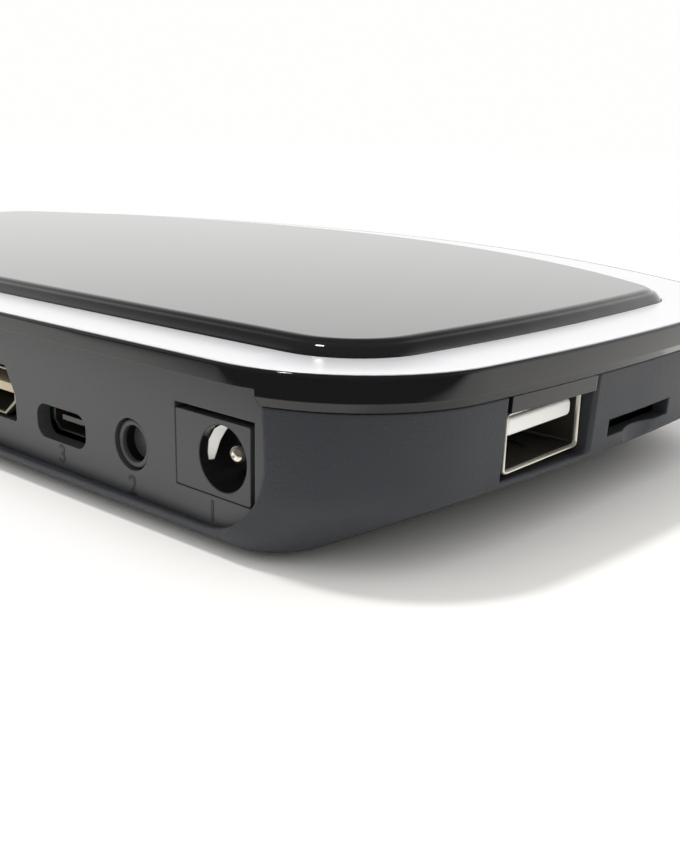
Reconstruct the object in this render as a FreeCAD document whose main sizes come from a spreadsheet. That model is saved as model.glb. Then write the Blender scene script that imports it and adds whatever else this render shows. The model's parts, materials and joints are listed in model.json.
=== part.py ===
"""Streaming box for a television: casing, sockets, circuit board and the two pieces that move.

The front of the box faces -Y and the socket plate faces +Y. The origin is on the table, under the
middle of the box. Every length is in millimetres and every angle in degrees.
"""
import FreeCAD, Part

import math
import os
import re

import Sketcher

Vector = FreeCAD.Vector

# Driving dimensions. Each one is a cell of the sheet, and its name is the cell's alias.
SIZES = {
    # Plan outline of the casing at its seam
    "case_length": 155.5,
    "case_depth": 94.8,
    "side_bow_radius": 283.0,
    "rear_bow_radius": 2640.0,
    "front_bow_radius": 122.0,
    "rear_corner_radius": 16.4,
    "front_corner_radius": 15.0,
    # Heights above the table
    "foot_reach": 0.8,
    "case_height": 14.4,
    "seam_gap": 0.15,
    "cover_height": 3.23,
    "trim_slope": 0.45,
    "panel_rise": 0.92,
    # Walls of the lower case
    "wall_thickness": 1.8,
    "side_draft": 3.1,
    "side_turn_drop": 7.3,
    "side_turn_radius": 2.0,
    "underside_slope": 29.6,
    "rear_draft": 3.5,
    "rear_edge_radius": 2.5,
    # Upper cover, silver trim and top panel
    "cover_overhang": 0.95,
    "cover_lip_height": 0.9,
    "cover_lip_reach": 0.7,
    "cover_round": 0.28,
    "cover_wall": 1.9,
    "deck_thickness": 1.2,
    "rim_width": 0.3,
    "trim_thickness": 0.8,
    "trim_width": 8.25,
    "trim_gap": 0.05,
    "trim_lip": 0.15,
    "bevel_steep": 62.0,
    "bevel_flat": 22.0,
    "cover_lean": 0.08,
    "neck_reach": 0.2,
    "bevel_width": 1.55,
    # Socket plate and its bay
    "plate_recess": 2.5,
    "plate_thickness": 1.6,
    "bay_end": 12.15,
    "bay_sill": 1.8,
    "bay_corner_radius": 8.0,
    "plate_tongue": 1.2,
    "plate_slot_depth": 0.5,
    "plate_fit": 0.1,
    "plate_groove": 0.3,
    "bay_head": 1.65,
    "plate_head": 0.3,
    # Circuit board
    "board_thickness": 1.6,
    "board_room": 3.6,
    "board_side_inset": 6.1,
    "board_rear_gap": 0.6,
    "notch_gap": 0.2,
    # Case screws, their bosses and the feet
    "screw_rear_end": 23.75,
    "screw_rear_inset": 25.4,
    "screw_front_end": 49.75,
    "screw_front_inset": 23.4,
    "screw_radius": 1.2,
    "screw_length": 10.0,
    "screw_head_radius": 2.3,
    "screw_head_height": 1.5,
    "screw_play": 0.05,
    "screw_recess": 2.6,
    "screw_recess_radius": 2.7,
    "boss_radius": 3.5,
    "boss_reach": 8.0,
    "boss_clearance": 0.4,
    "drive_width": 0.5,
    "drive_depth": 0.7,
    "foot_rear_end": 21.75,
    "foot_rear_inset": 10.9,
    "foot_front_end": 33.75,
    "foot_front_inset": 28.4,
    "foot_radius": 5.0,
    "foot_seat_depth": 0.6,
    "foot_round": 0.3,
    "post_rear_end": 41.75,
    "post_rear_inset": 22.4,
    "post_front_end": 37.75,
    "post_front_inset": 33.4,
    "post_radius": 2.4,
    "board_screw_radius": 0.95,
    "board_screw_length": 4.2,
    "board_screw_head_radius": 1.9,
    "board_screw_head_height": 1.1,
    # Vents in the floor
    "vent_count": 9,
    "vent_pitch": 4.0,
    "vent_width": 1.6,
    "vent_length": 16.0,
    "vent_y": 2.0,
    # Type A sockets: one in the left side, two in the rear
    "port_width": 13.1,
    "port_height": 5.7,
    "port_length": 14.0,
    "port_sheet": 0.3,
    "port_recess": 1.9,
    "port_side_inset": 26.0,
    "port_rear_offset": 20.3,
    "port_rear_pitch": 17.0,
    "port_rear_recess": 0.2,
    "port_tongue_width": 11.1,
    "port_tongue_thickness": 1.84,
    "port_tongue_recess": 0.5,
    "port_tongue_gap": 0.65,
    "port_tongue_root": 4.5,
    "port_contact_width": 1.0,
    "port_contact_pitch": 2.3,
    "port_contact_thickness": 0.2,
    "port_opening_gap": 0.3,
    "port_notch_far_gap": 0.3,
    "port_notch_depth": 8.0,
    "port_notch_sill": 0.6,
    "notch_chamfer": 0.45,
    "tab_gap": 0.25,
    "tab_lift": 0.15,
    # Barrel jack for power
    "power_end_gap": 2.7,
    "power_width": 9.8,
    "power_height": 7.2,
    "power_length": 13.5,
    "power_drop": 2.4,
    "power_face_recess": 0.05,
    "power_bore_radius": 3.15,
    "power_bore_depth": 9.5,
    "power_bore_offset": 1.35,
    "power_bore_height": 3.65,
    "power_pin_radius": 1.0,
    "power_pin_setback": 1.3,
    "power_gap_side": 0.6,
    "power_gap_top": 0.6,
    "power_blade_width": 2.0,
    "power_blade_thickness": 0.3,
    # Jack for analogue sound and picture
    "sound_pitch": 11.5,
    "sound_height": -0.2,
    "sound_nozzle_radius": 2.45,
    "sound_bore_radius": 1.8,
    "sound_bore_depth": 12.0,
    "sound_body_width": 6.4,
    "sound_body_height": 5.4,
    "sound_body_length": 13.5,
    "sound_nozzle_recess": 0.3,
    "sound_gap": 0.15,
    "sound_ring_width": 0.5,
    # Small five-contact socket
    "micro_pitch": 11.7,
    "micro_height": -0.75,
    "micro_opening_width": 8.6,
    "micro_opening_height": 3.65,
    "micro_opening_radius": 1.5,
    "micro_width": 7.5,
    "micro_shell_height": 2.6,
    "micro_length": 5.6,
    "micro_sheet": 0.25,
    "micro_recess": 0.9,
    "micro_tongue_width": 3.8,
    "micro_tongue_thickness": 0.6,
    # Digital picture socket, mounted with its wide side down
    "picture_pitch": 15.9,
    "picture_base": -1.7,
    "picture_width": 14.6,
    "picture_narrow": 11.2,
    "picture_height": 5.4,
    "picture_shoulder": 2.6,
    "picture_length": 11.5,
    "picture_sheet": 0.35,
    "picture_gap": 0.3,
    "picture_tongue_width": 10.4,
    "picture_tongue_thickness": 1.0,
    # Network socket
    "network_pitch": 21.4,
    "network_width": 16.0,
    "network_height": 11.4,
    "network_length": 15.0,
    "network_base": -3.9,
    "network_mouth_width": 11.8,
    "network_mouth_height": 6.9,
    "network_mouth_depth": 12.0,
    "network_latch_width": 6.0,
    "network_latch_height": 1.5,
    "network_sheet": 0.25,
    "network_gap": 0.25,
    "network_contact_count": 8,
    "network_contact_pitch": 1.02,
    "network_contact_width": 0.4,
    # Memory card socket
    "card_pitch": 16.5,
    "card_slot_width": 13.0,
    "card_slot_height": 1.8,
    "card_slot_lift": 0.5,
    "card_width": 14.0,
    "card_length": 15.0,
    "card_height": 1.9,
    "card_sheet": 0.2,
    "card_floor": 0.4,
    "card_overhang": 1.4,
    "card_carriage_length": 6.0,
    "card_carriage_width": 1.0,
    "card_carriage_height": 0.9,
    "card_play": 0.1,
    "card_spring_radius": 0.4,
    "scoop_radius": 8.0,
    "scoop_depth": 1.2,
    "scoop_height": 4.0,
    # Reset switch under the board
    "reset_x": -24.0,
    "reset_y": -10.0,
    "reset_side": 6.0,
    "reset_body_height": 2.0,
    "reset_plunger_radius": 1.6,
    "reset_plunger_reach": 0.8,
    "reset_travel": 0.25,
    "reset_play": 0.05,
    "pinhole_radius": 1.0,
    # Parts soldered to the board
    "processor_inset": 47.4,
    "processor_side": 19.0,
    "processor_height": 1.2,
    "pad_side": 16.0,
    "pad_thickness": 0.5,
    "sink_side": 34.0,
    "sink_base": 1.5,
    "sink_height": 6.0,
    "sink_fin_count": 9,
    "sink_fin_thickness": 1.2,
    "memory_x": 25.0,
    "memory_pitch": 16.0,
    "memory_width": 9.0,
    "memory_length": 12.5,
    "memory_height": 1.0,
    "flash_inset": 20.9,
    "flash_width": 13.0,
    "flash_length": 11.5,
    "flash_height": 1.1,
    "radio_end": 33.75,
    "radio_y": 6.0,
    "radio_width": 13.0,
    "radio_length": 15.0,
    "radio_board": 0.8,
    "radio_can": 1.6,
    "radio_margin": 0.7,
    "aerial_end": 31.75,
    "aerial_inset": 23.4,
    "aerial_length": 30.0,
    "aerial_width": 7.0,
    "aerial_thickness": 0.4,
    "lead_radius": 0.55,
    "transformer_gap": 3.6,
    "transformer_width": 13.0,
    "transformer_length": 8.0,
    "transformer_height": 5.6,
    "can_end": 31.25,
    "can_inset": 41.9,
    "can_pitch": 9.0,
    "can_radius": 3.15,
    "can_height": 5.6,
    "coil_gap": 9.5,
    "coil_inset": 36.9,
    "coil_pitch": 8.5,
    "coil_side": 6.0,
    "coil_height": 3.0,
    "regulator_end": 27.75,
    "regulator_inset": 35.4,
    "regulator_pitch": 8.0,
    "regulator_width": 5.0,
    "regulator_length": 4.0,
    "regulator_height": 1.5,
    "crystal_x": -20.5,
    "crystal_inset": 23.4,
    "crystal_width": 4.6,
    "crystal_length": 11.0,
    "crystal_height": 3.4,
    # Remote control receiver, light and the window before them
    "window_x": 0.0,
    "window_length": 22.0,
    "window_sill": 8.2,
    "window_height": 4.6,
    "window_gap": 0.08,
    "receiver_offset": -5.0,
    "receiver_width": 6.0,
    "receiver_length": 3.2,
    "receiver_height": 5.2,
    "receiver_lens_radius": 1.5,
    "front_part_gap": 1.2,
    "lamp_offset": 5.0,
    "lamp_radius": 1.5,
    "lamp_height": 4.4,
    # Sockets and small parts are rounded by this much
    "small_round": 0.4,
    # No round is smaller than this
    "least_round": 0.1,
    # The picture and network sockets stand this far inside the plate's face
    "socket_setback": 0.2,
    "piece_gap": 0.05,
}

# Values that follow from the driving dimensions, each written once.
DERIVED = {
    "half_length": "case_length / 2",
    "half_depth": "case_depth / 2",
    "side_fall": "(half_depth - rear_corner_radius) ^ 2 / (2 * side_bow_radius)",
    "bay_half_length": "half_length - side_fall - bay_end",
    "case_bottom": "foot_reach",
    "inner_floor": "case_bottom + wall_thickness",
    "seam": "case_bottom + case_height",
    "cover_bottom": "seam + seam_gap",
    "cover_top": "cover_bottom + cover_height",
    "deck_top": "cover_top - trim_thickness + trim_gap",
    "deck_bottom": "deck_top - deck_thickness",
    "panel_side_inset": "trim_width + trim_gap - cover_overhang + rim_width",
    "panel_top": "cover_top + panel_rise",
    "plate_face": "half_depth - plate_recess",
    "plate_back": "plate_face - plate_thickness",
    "sill": "case_bottom + bay_sill",
    "plate_bottom": "sill - plate_slot_depth",
    "bay_top": "seam + bay_head",
    "plate_top": "bay_top + plate_head",
    "board_bottom": "inner_floor + board_room",
    "board_top": "board_bottom + board_thickness",
    "board_rear": "plate_back - board_rear_gap",
    "screw_rear_x": "half_length - screw_rear_end",
    "screw_rear_y": "half_depth - screw_rear_inset",
    "screw_front_x": "half_length - screw_front_end",
    "screw_front_y": "screw_front_inset - half_depth",
    "foot_rear_x": "half_length - foot_rear_end",
    "foot_rear_y": "half_depth - foot_rear_inset",
    "foot_front_x": "half_length - foot_front_end",
    "foot_front_y": "foot_front_inset - half_depth",
    "post_rear_x": "half_length - post_rear_end",
    "post_rear_y": "half_depth - post_rear_inset",
    "post_front_x": "half_length - post_front_end",
    "post_front_y": "post_front_inset - half_depth",
    "boss_top": "case_bottom + boss_reach",
    "screw_seat": "case_bottom + screw_recess",
    "power_x": "power_end_gap + power_width / 2 - bay_half_length",
    "sound_x": "power_x + sound_pitch",
    "micro_x": "sound_x + micro_pitch",
    "picture_x": "micro_x + picture_pitch",
    "network_x": "picture_x + network_pitch",
    "port_rear_x": "network_x + port_rear_offset",
    "port_side_y": "half_depth - port_side_inset",
    "port_side_mouth": "port_recess - half_length",
    "port_rear_mouth": "plate_face - port_rear_recess",
    "port_top": "board_top + port_height",
    "power_bottom": "board_top - power_drop",
    "power_top": "power_bottom + power_height",
    "power_face": "plate_face - power_face_recess",
    "power_bore_x": "power_x - power_bore_offset",
    "power_bore_z": "power_bottom + power_bore_height",
    "sound_z": "board_top + sound_height",
    "sound_face": "plate_face - sound_nozzle_recess",
    "sound_block_face": "plate_back - plate_fit",
    "micro_z": "board_top + micro_height",
    "micro_face": "plate_face - micro_recess",
    "picture_bottom": "board_top + picture_base",
    "network_bottom": "board_top + network_base",
    "card_y": "port_side_y - card_pitch",
    "card_mouth": "board_side_inset - card_overhang - half_length",
    "card_slot_bottom": "board_top + card_slot_lift",
    "reset_body_bottom": "board_bottom - reset_body_height",
    "processor_y": "half_depth - processor_inset",
    "chip_top": "board_top + processor_height",
    "sink_bottom": "chip_top + pad_thickness",
    "flash_y": "flash_inset - half_depth",
    "crystal_y": "crystal_inset - half_depth",
    "radio_x": "half_length - radio_end",
    "aerial_x": "half_length - aerial_end",
    "aerial_y": "aerial_inset - half_depth",
    "transformer_y": "plate_face - network_length - transformer_gap - transformer_length / 2",
    "can_x": "can_end - half_length",
    "can_y": "half_depth - can_inset",
    "coil_x": "can_x + coil_gap",
    "coil_y": "half_depth - coil_inset",
    "regulator_x": "regulator_end - half_length",
    "regulator_y": "regulator_inset - half_depth",
    "window_bottom": "case_bottom + window_sill",
}

WORD = re.compile(r"[a-z][a-z_]*")
TURN_STEPS = 4
EDGE_STEPS = 4
ROUND_STEPS = 3


def formula(text):
    """Write a text of size names as an expression on the sheet's cells."""
    def cell(match):
        word = match.group(0)
        if word in DERIVED:
            return "(" + formula(DERIVED[word]) + ")"
        if word in SIZES:
            return "Sizes." + word
        return word
    return WORD.sub(cell, str(text))


def number(text):
    """Work out a text of size names as a plain number."""
    result = sheet.evalExpression(formula(text))
    return float(getattr(result, "Value", result))


def new_document():
    """Make the document and the sheet that holds the driving dimensions."""
    made = FreeCAD.newDocument("TelevisionBox")
    cells = made.addObject("Spreadsheet::Sheet", "Sizes")
    for row, (alias, value) in enumerate(SIZES.items(), start=1):
        cells.set("A%d" % row, alias)
        cells.set("B%d" % row, str(value))
        cells.setAlias("B%d" % row, alias)
    made.recompute()
    return made, cells


doc, sheet = new_document()
nodes = {}


def node(piece, name):
    """Name a finished sub-part, so that it is checked and written."""
    piece.Label = name
    nodes[name] = piece
    return piece


def bind(piece, **sizes):
    """Bind properties of an object to texts of size names."""
    for name, text in sizes.items():
        piece.setExpression(name, formula(text))
    return piece


def bind_place(piece, place):
    """Bind the corner or centre of an object to three texts of size names."""
    for axis, text in zip("xyz", place):
        piece.setExpression("Placement.Base." + axis, formula(text))
    return piece


def about(centre, width):
    """Give the low and high limits of a width about a centre."""
    return ("%s - (%s) / 2" % (centre, width), "%s + (%s) / 2" % (centre, width))


def block(name, along_x, along_y, along_z):
    """Make a box between three pairs of limits."""
    box = doc.addObject("Part::Box", name)
    spans = ["(%s) - (%s)" % (high, low) for low, high in (along_x, along_y, along_z)]
    bind(box, Length=spans[0], Width=spans[1], Height=spans[2])
    return bind_place(box, (along_x[0], along_y[0], along_z[0]))


TURNS = {
    "x": FreeCAD.Rotation(Vector(0, 1, 0), 90),
    "y": FreeCAD.Rotation(Vector(1, 0, 0), -90),
    "z": FreeCAD.Rotation(),
}


def rod(name, radius, start, length, along="z"):
    """Make a cylinder from a start point, along X, Y or Z."""
    cylinder = doc.addObject("Part::Cylinder", name)
    cylinder.Placement = FreeCAD.Placement(Vector(), TURNS[along])
    bind(cylinder, Radius=radius, Height=length)
    return bind_place(cylinder, start)


def cut(name, base, *tools):
    """Cut one or more tools from a base."""
    result = doc.addObject("Part::Cut", name)
    result.Base = base
    result.Tool = tools[0] if len(tools) == 1 else fuse(name + "_tools", *tools)
    return result


def fuse(name, *pieces):
    """Join pieces into one solid."""
    result = doc.addObject("Part::MultiFuse", name)
    result.Shapes = list(pieces)
    return result


def common(name, *pieces):
    """Keep what pieces have in common."""
    result = doc.addObject("Part::MultiCommon", name)
    result.Shapes = list(pieces)
    return result


def group(name, pieces):
    """Hold separate solids together as one sub-part."""
    result = doc.addObject("Part::Compound", name)
    result.Links = list(pieces)
    return node(result, name)


def feature(name, shape):
    """Hold a shape made with the geometry functions."""
    result = doc.addObject("Part::Feature", name)
    result.Shape = shape
    return result


def rounded(name, base, radius, chosen):
    """Round the edges of an object that a test picks."""
    doc.recompute()
    result = doc.addObject("Part::Fillet", name)
    result.Base = base
    size = number(radius)
    picked = [place for place, edge in enumerate(base.Shape.Edges, start=1) if chosen(edge)]
    result.Edges = [(place, size, size) for place in picked]
    return result


def runs_along(axis):
    """Make a test that picks straight edges along X, Y or Z."""
    direction = {"x": Vector(1, 0, 0), "y": Vector(0, 1, 0), "z": Vector(0, 0, 1)}[axis]

    def chosen(edge):
        if not isinstance(edge.Curve, Part.Line):
            return False
        return abs(edge.Curve.Direction.dot(direction)) > 0.999
    return chosen


def corner_circle(reach_x, bow_x, reach_y, bow_y, radius):
    """Find the centre of a corner arc that touches a side bow and an end bow from inside."""
    side = Vector(reach_x - bow_x, 0, 0)
    end = Vector(0, reach_y - bow_y, 0)
    to_side = bow_x - radius
    to_end = bow_y - radius
    apart = side - end
    span = apart.Length
    along = (span ** 2 + to_end ** 2 - to_side ** 2) / (2 * span)
    across = math.sqrt(to_end ** 2 - along ** 2)
    unit = apart / span
    foot = end + unit * along
    return max((foot + Vector(-unit.y, unit.x, 0) * across,
                foot - Vector(-unit.y, unit.x, 0) * across), key=lambda spot: spot.x + spot.y)


def quarter(side_inset, end_inset, end_bow, corner):
    """Work out one quarter of the outline: where its three arcs start, bulge and end."""
    reach_x = number("half_length") - side_inset
    reach_y = number("half_depth") - end_inset
    bow_x = number("side_bow_radius") - side_inset
    bow_y = end_bow - end_inset
    radius = max(corner - max(side_inset, end_inset), 1.0)
    centre = corner_circle(reach_x, bow_x, reach_y, bow_y, radius)
    side = Vector(reach_x - bow_x, 0, 0)
    end = Vector(0, reach_y - bow_y, 0)
    low = centre + (centre - side).normalize() * radius
    high = centre + (centre - end).normalize() * radius
    middle = centre + ((low + high) / 2 - centre).normalize() * radius
    return {"low": low, "middle": middle, "high": high,
            "side": Vector(reach_x, 0, 0), "end": Vector(0, reach_y, 0)}


def outline(height, side_inset, rear_inset=None, front_inset=None):
    """Draw the plan outline at a height: eight tangent arcs, drawn in by an inset on each side."""
    rear_inset = side_inset if rear_inset is None else rear_inset
    front_inset = side_inset if front_inset is None else front_inset
    rear = quarter(side_inset, rear_inset, number("rear_bow_radius"), number("rear_corner_radius"))
    front = quarter(side_inset, front_inset, number("front_bow_radius"), number("front_corner_radius"))

    def place(spot, flip_x, flip_y):
        return Vector(spot.x * flip_x, spot.y * flip_y, height)

    arcs = [
        Part.Arc(place(front["low"], 1, -1), place(rear["side"], 1, 1), place(rear["low"], 1, 1)),
        Part.Arc(place(rear["low"], 1, 1), place(rear["middle"], 1, 1), place(rear["high"], 1, 1)),
        Part.Arc(place(rear["high"], 1, 1), place(rear["end"], 1, 1), place(rear["high"], -1, 1)),
        Part.Arc(place(rear["high"], -1, 1), place(rear["middle"], -1, 1), place(rear["low"], -1, 1)),
        Part.Arc(place(rear["low"], -1, 1), place(rear["side"], -1, 1), place(front["low"], -1, -1)),
        Part.Arc(place(front["low"], -1, -1), place(front["middle"], -1, -1),
                 place(front["high"], -1, -1)),
        Part.Arc(place(front["high"], -1, -1), place(front["end"], 1, -1), place(front["high"], 1, -1)),
        Part.Arc(place(front["high"], 1, -1), place(front["middle"], 1, -1), place(front["low"], 1, -1)),
    ]
    return Part.Wire([arc.toShape() for arc in arcs])


def prism(inset, bottom, top):
    """Raise the outline at one inset from one height to another."""
    face = Part.Face(outline(bottom, inset))
    return face.extrude(Vector(0, 0, top - bottom))


def hull_stations(offset):
    """List the sections of the lower case from its seam down, drawn in by an offset.

    The sides and the front stand almost upright, turn under on a small arc and slope in to the
    floor. The rear falls almost straight and turns under only at its lower edge.
    """
    draft = math.radians(number("side_draft"))
    steep = math.radians(90 - number("underside_slope"))
    turn_height = number("seam - side_turn_drop")
    turn_radius = number("side_turn_radius")
    centre = Vector(number("side_turn_drop") * math.tan(draft) + turn_radius * math.cos(draft),
                    turn_height + turn_radius * math.sin(draft), 0)
    radius = max(turn_radius - offset, number("least_round"))
    low = number("case_bottom") + offset
    edge = max(number("rear_edge_radius") - offset, number("least_round"))
    places = [Vector(offset / math.cos(draft), number("seam"), 0)]
    for step in range(TURN_STEPS + 1):
        angle = draft + (steep - draft) * step / TURN_STEPS
        places.append(centre - Vector(math.cos(angle), math.sin(angle), 0) * radius)
    last = places[-1]
    heights = [low + edge * (1 - math.sin(math.radians(90) * step / EDGE_STEPS))
               for step in range(EDGE_STEPS + 1)]
    places.extend(Vector(last.x + (last.y - height) * math.tan(steep), height, 0)
                  for height in heights)
    sections = []
    for place in places:
        above = place.y - low
        rear_inset = (number("seam") - place.y) * math.tan(math.radians(number("rear_draft")))
        if above < edge:
            rear_inset += edge - math.sqrt(edge ** 2 - (edge - above) ** 2)
        sections.append((place.y, place.x, rear_inset + offset))
    return sections


def hull(offset, top_height):
    """Loft the lower case's body, or the room in it, between its sections."""
    stations = hull_stations(offset)
    body = Part.makeLoft([outline(*section) for section in stations], True, True)
    if top_height > stations[0][0]:
        face = Part.Face(outline(*stations[0]))
        body = body.fuse(face.extrude(Vector(0, 0, top_height - stations[0][0])))
    return body.removeSplitter()


def four_corners(rear, front):
    """List the four places of a left-right pair at the rear and a pair at the front."""
    places = []
    for prefix in (rear, front):
        for sign in ("-", ""):
            places.append((sign + prefix + "_x", prefix + "_y"))
    return places


SCREW_PLACES = four_corners("screw_rear", "screw_front")
FOOT_PLACES = four_corners("foot_rear", "foot_front")
POST_PLACES = four_corners("post_rear", "post_front")
REAR_PORT_PLACES = ["port_rear_x", "port_rear_x + port_rear_pitch"]


def plate_openings(depth):
    """Make the cutters of the socket plate, from behind it to before it."""
    low, high = depth
    power = block("power_opening",
                  ("power_x - power_width / 2", "power_x + power_width / 2 + piece_gap"),
                  depth, ("power_bottom - 2 * piece_gap", "power_top + power_gap_top"))
    power_side = block("power_side_gap",
                       ("power_x - power_width / 2 - power_gap_side", "power_x"),
                       depth, ("power_bottom - 2 * piece_gap", "power_top + power_gap_top"))
    sound = rod("sound_opening", "sound_nozzle_radius + sound_gap", ("sound_x", low, "sound_z"),
                "(%s) - (%s)" % (high, low), "y")
    micro = rounded("micro_opening",
                    block("micro_opening_block", about("micro_x", "micro_opening_width"), depth,
                          about("micro_z", "micro_opening_height")),
                    "micro_opening_radius", runs_along("y"))
    picture = picture_prism("picture_opening", "picture_gap", depth)
    network = block("network_opening", about("network_x", "network_width + 2 * network_gap"), depth,
                    ("network_bottom - network_gap", "network_bottom + network_height + network_gap"))
    cutters = [power, power_side, sound, micro, picture, network]
    for place, centre in enumerate(REAR_PORT_PLACES, start=1):
        opening = block("port_rear_opening_%d_block" % place,
                        about(centre, "port_width + 2 * port_opening_gap"), depth,
                        ("board_top - port_opening_gap", "port_top + port_opening_gap"))
        cutters.append(rounded("port_rear_opening_%d" % place, opening, "small_round",
                               runs_along("y")))
    return cutters


def picture_prism(name, margin, depth):
    """Make the six-sided prism of the digital picture socket, grown by a margin."""
    grow = number(margin)
    half_wide = number("picture_width") / 2 + grow
    half_narrow = number("picture_narrow") / 2 + grow
    low = number("picture_bottom") - grow
    high = low + number("picture_height") + 2 * grow
    shoulder = number("picture_bottom") + number("picture_shoulder")
    centre = number("picture_x")
    start, stop = number(depth[0]), number(depth[1])
    corners = [(-half_wide, low), (half_wide, low), (half_wide, shoulder), (half_narrow, high),
               (-half_narrow, high), (-half_wide, shoulder), (-half_wide, low)]
    wire = Part.makePolygon([Vector(centre + x, start, z) for x, z in corners])
    solid = Part.Face(wire).extrude(Vector(0, stop - start, 0))
    along = [edge for edge in solid.Edges if abs(edge.tangentAt(edge.FirstParameter).y) > 0.999]
    return feature(name, solid.makeFillet(number("small_round"), along))


def lower_case():
    """Make the lower case: a hull with a socket bay, posts, bosses, vents and openings."""
    outer = feature("case_outer", hull(0.0, number("seam")))
    inner = feature("case_room", hull(number("wall_thickness"), number("seam") + 1))
    wall = cut("case_wall", outer, inner)
    posts = []
    for place, (x, y) in enumerate(SCREW_PLACES, start=1):
        boss = rod("case_boss_%d" % place, "boss_radius", (x, y, "case_bottom + 0.4"),
                   "boss_top - case_bottom - 0.4")
        posts.append(boss)
    for place, (x, y) in enumerate(POST_PLACES, start=1):
        posts.append(rod("case_post_%d" % place, "post_radius", (x, y, "case_bottom + 0.4"),
                         "board_bottom - case_bottom - 0.4"))
    solid = fuse("case_with_posts", wall, *posts)
    cutters = [case_bay(), case_plate_slot(), port_notch(), notch_flare(), card_opening(), card_scoop(),
               window_opening("window_opening", "0")]
    for place, (x, y) in enumerate(SCREW_PLACES, start=1):
        cutters.append(rod("screw_recess_%d" % place, "screw_recess_radius", (x, y, "-1"),
                           "screw_seat + 1"))
        cutters.append(rod("screw_passage_%d" % place, "screw_radius + screw_play", (x, y, "0"),
                           "boss_top + 1"))
    for place, (x, y) in enumerate(POST_PLACES, start=1):
        cutters.append(rod("post_hole_%d" % place, "board_screw_radius + screw_play",
                           (x, y, "board_top - board_screw_length - 0.3"), "board_screw_length"))
    for place, (x, y) in enumerate(FOOT_PLACES, start=1):
        cutters.append(rod("foot_seat_%d" % place, "foot_radius + screw_play", (x, y, "-1"),
                           "case_bottom + foot_seat_depth + 1"))
    cutters.append(rod("pinhole", "pinhole_radius", ("reset_x", "reset_y", "0"), "inner_floor + 1"))
    cutters.extend(vents())
    node(cut("lower_case", solid, *cutters), "lower_case")
    return wall


def vents():
    """Make the row of round-ended vent slots in the floor."""
    slots = []
    count = int(number("vent_count"))
    for place in range(count):
        centre = "vent_pitch * %g" % (place - (count - 1) / 2)
        body = block("vent_%d_middle" % (place + 1), about(centre, "vent_width"),
                     about("vent_y", "vent_length - vent_width"), ("0", "inner_floor + 0.5"))
        ends = [rod("vent_%d_end_%d" % (place + 1, end), "vent_width / 2",
                    (centre, "vent_y + %d * (vent_length - vent_width) / 2" % sign, "0"),
                    "inner_floor + 0.5")
                for end, sign in ((1, -1), (2, 1))]
        slots.append(fuse("vent_%d" % (place + 1), body, *ends))
    return slots


def lower_corners(name, base, radius, low):
    """Round the two lower corners of a plate that stands across Y."""
    bottom = number(low)
    runs = runs_along("y")
    return rounded(name, base, radius,
                   lambda edge: runs(edge) and abs(edge.CenterOfMass.z - bottom) < 0.01)


def case_bay():
    """Make the cutter of the socket bay: open at the top, with round lower corners."""
    bay = block("bay_block", ("-bay_half_length", "bay_half_length"),
                ("plate_face", "half_depth + 5"), ("sill", "seam + 5"))
    return lower_corners("bay", bay, "bay_corner_radius", "sill")


def case_plate_slot():
    """Make the cutter of the slot that holds the socket plate's lower and side edges."""
    slot = block("plate_slot_block",
                 ("-bay_half_length - plate_tongue - plate_fit",
                  "bay_half_length + plate_tongue + plate_fit"),
                 ("plate_back - plate_fit", "plate_face + plate_groove"),
                 ("plate_bottom - plate_fit", "seam + 5"))
    return lower_corners("plate_slot", slot, "bay_corner_radius + plate_tongue",
                         "plate_bottom - plate_fit")


def port_notch():
    """Make the cutter of the notch for the side socket, open at the top."""
    notch = block("port_notch_block", ("-half_length - 3", "port_notch_depth - half_length"),
                  ("port_side_y - port_width / 2 - port_notch_far_gap",
                   "port_side_y + port_width / 2 + port_opening_gap"),
                  ("board_top - port_notch_sill", "seam + 5"))
    low = number("board_top - port_notch_sill")

    def lower_corner(edge):
        return runs_along("x")(edge) and abs(edge.CenterOfMass.z - low) < 0.01
    return rounded("port_notch", notch, "small_round", lower_corner)


def notch_flare():
    """Make the cutter that chamfers the side notch's rim, on the slant of the bowed wall."""
    centre = number("port_side_y")
    bow = number("side_bow_radius")
    size = number("notch_chamfer")
    wall_x = bow - number("half_length") - math.sqrt(bow ** 2 - centre ** 2)
    fall = math.tan(math.radians(number("side_draft")))
    reach = number("port_width / 2 + port_opening_gap")
    far_reach = number("port_width / 2 + port_notch_far_gap")
    low = number("board_top - port_notch_sill")
    high = number("seam") + 2

    def section(depth):
        """Draw the rim's outline at a depth in the wall, larger the further out it lies."""
        grow = size - depth
        corners = [(-far_reach - grow, low - grow), (reach + grow, low - grow),
                   (reach + grow, high), (-far_reach - grow, high)]
        points = [Vector(wall_x + depth + along * centre / bow + (number("seam") - height) * fall,
                         centre + along, height) for along, height in corners]
        return Part.makePolygon(points + points[:1])
    return feature("notch_flare", Part.makeLoft([section(-size), section(size)], True, True))


def card_opening():
    """Make the cutter of the memory card's slot in the left wall."""
    return block("card_opening", ("-half_length - 3", "card_mouth + 2"),
                 about("card_y", "card_slot_width"),
                 ("card_slot_bottom", "card_slot_bottom + card_slot_height"))


def card_scoop():
    """Make the cutter of the finger scoop below the memory card's slot."""
    return rod("card_scoop", "scoop_radius",
               ("scoop_depth - half_length - scoop_radius", "card_y",
                "card_slot_bottom + card_slot_height / 2 - scoop_height"),
               "scoop_height")


def window_opening(name, margin):
    """Make the block that the front window fills in the front wall."""
    return block(name, about("window_x", "window_length - 2 * %s" % margin),
                 ("-half_depth - 3", "-half_depth + wall_thickness + 4"),
                 ("window_bottom + %s" % margin, "window_bottom + window_height - %s" % margin))


def front_window(wall):
    """Make the dark window for the remote control, as a piece of the front wall."""
    shape = common("front_window", wall, window_opening("window_block", "window_gap"))
    node(shape, "front_window")


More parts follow.
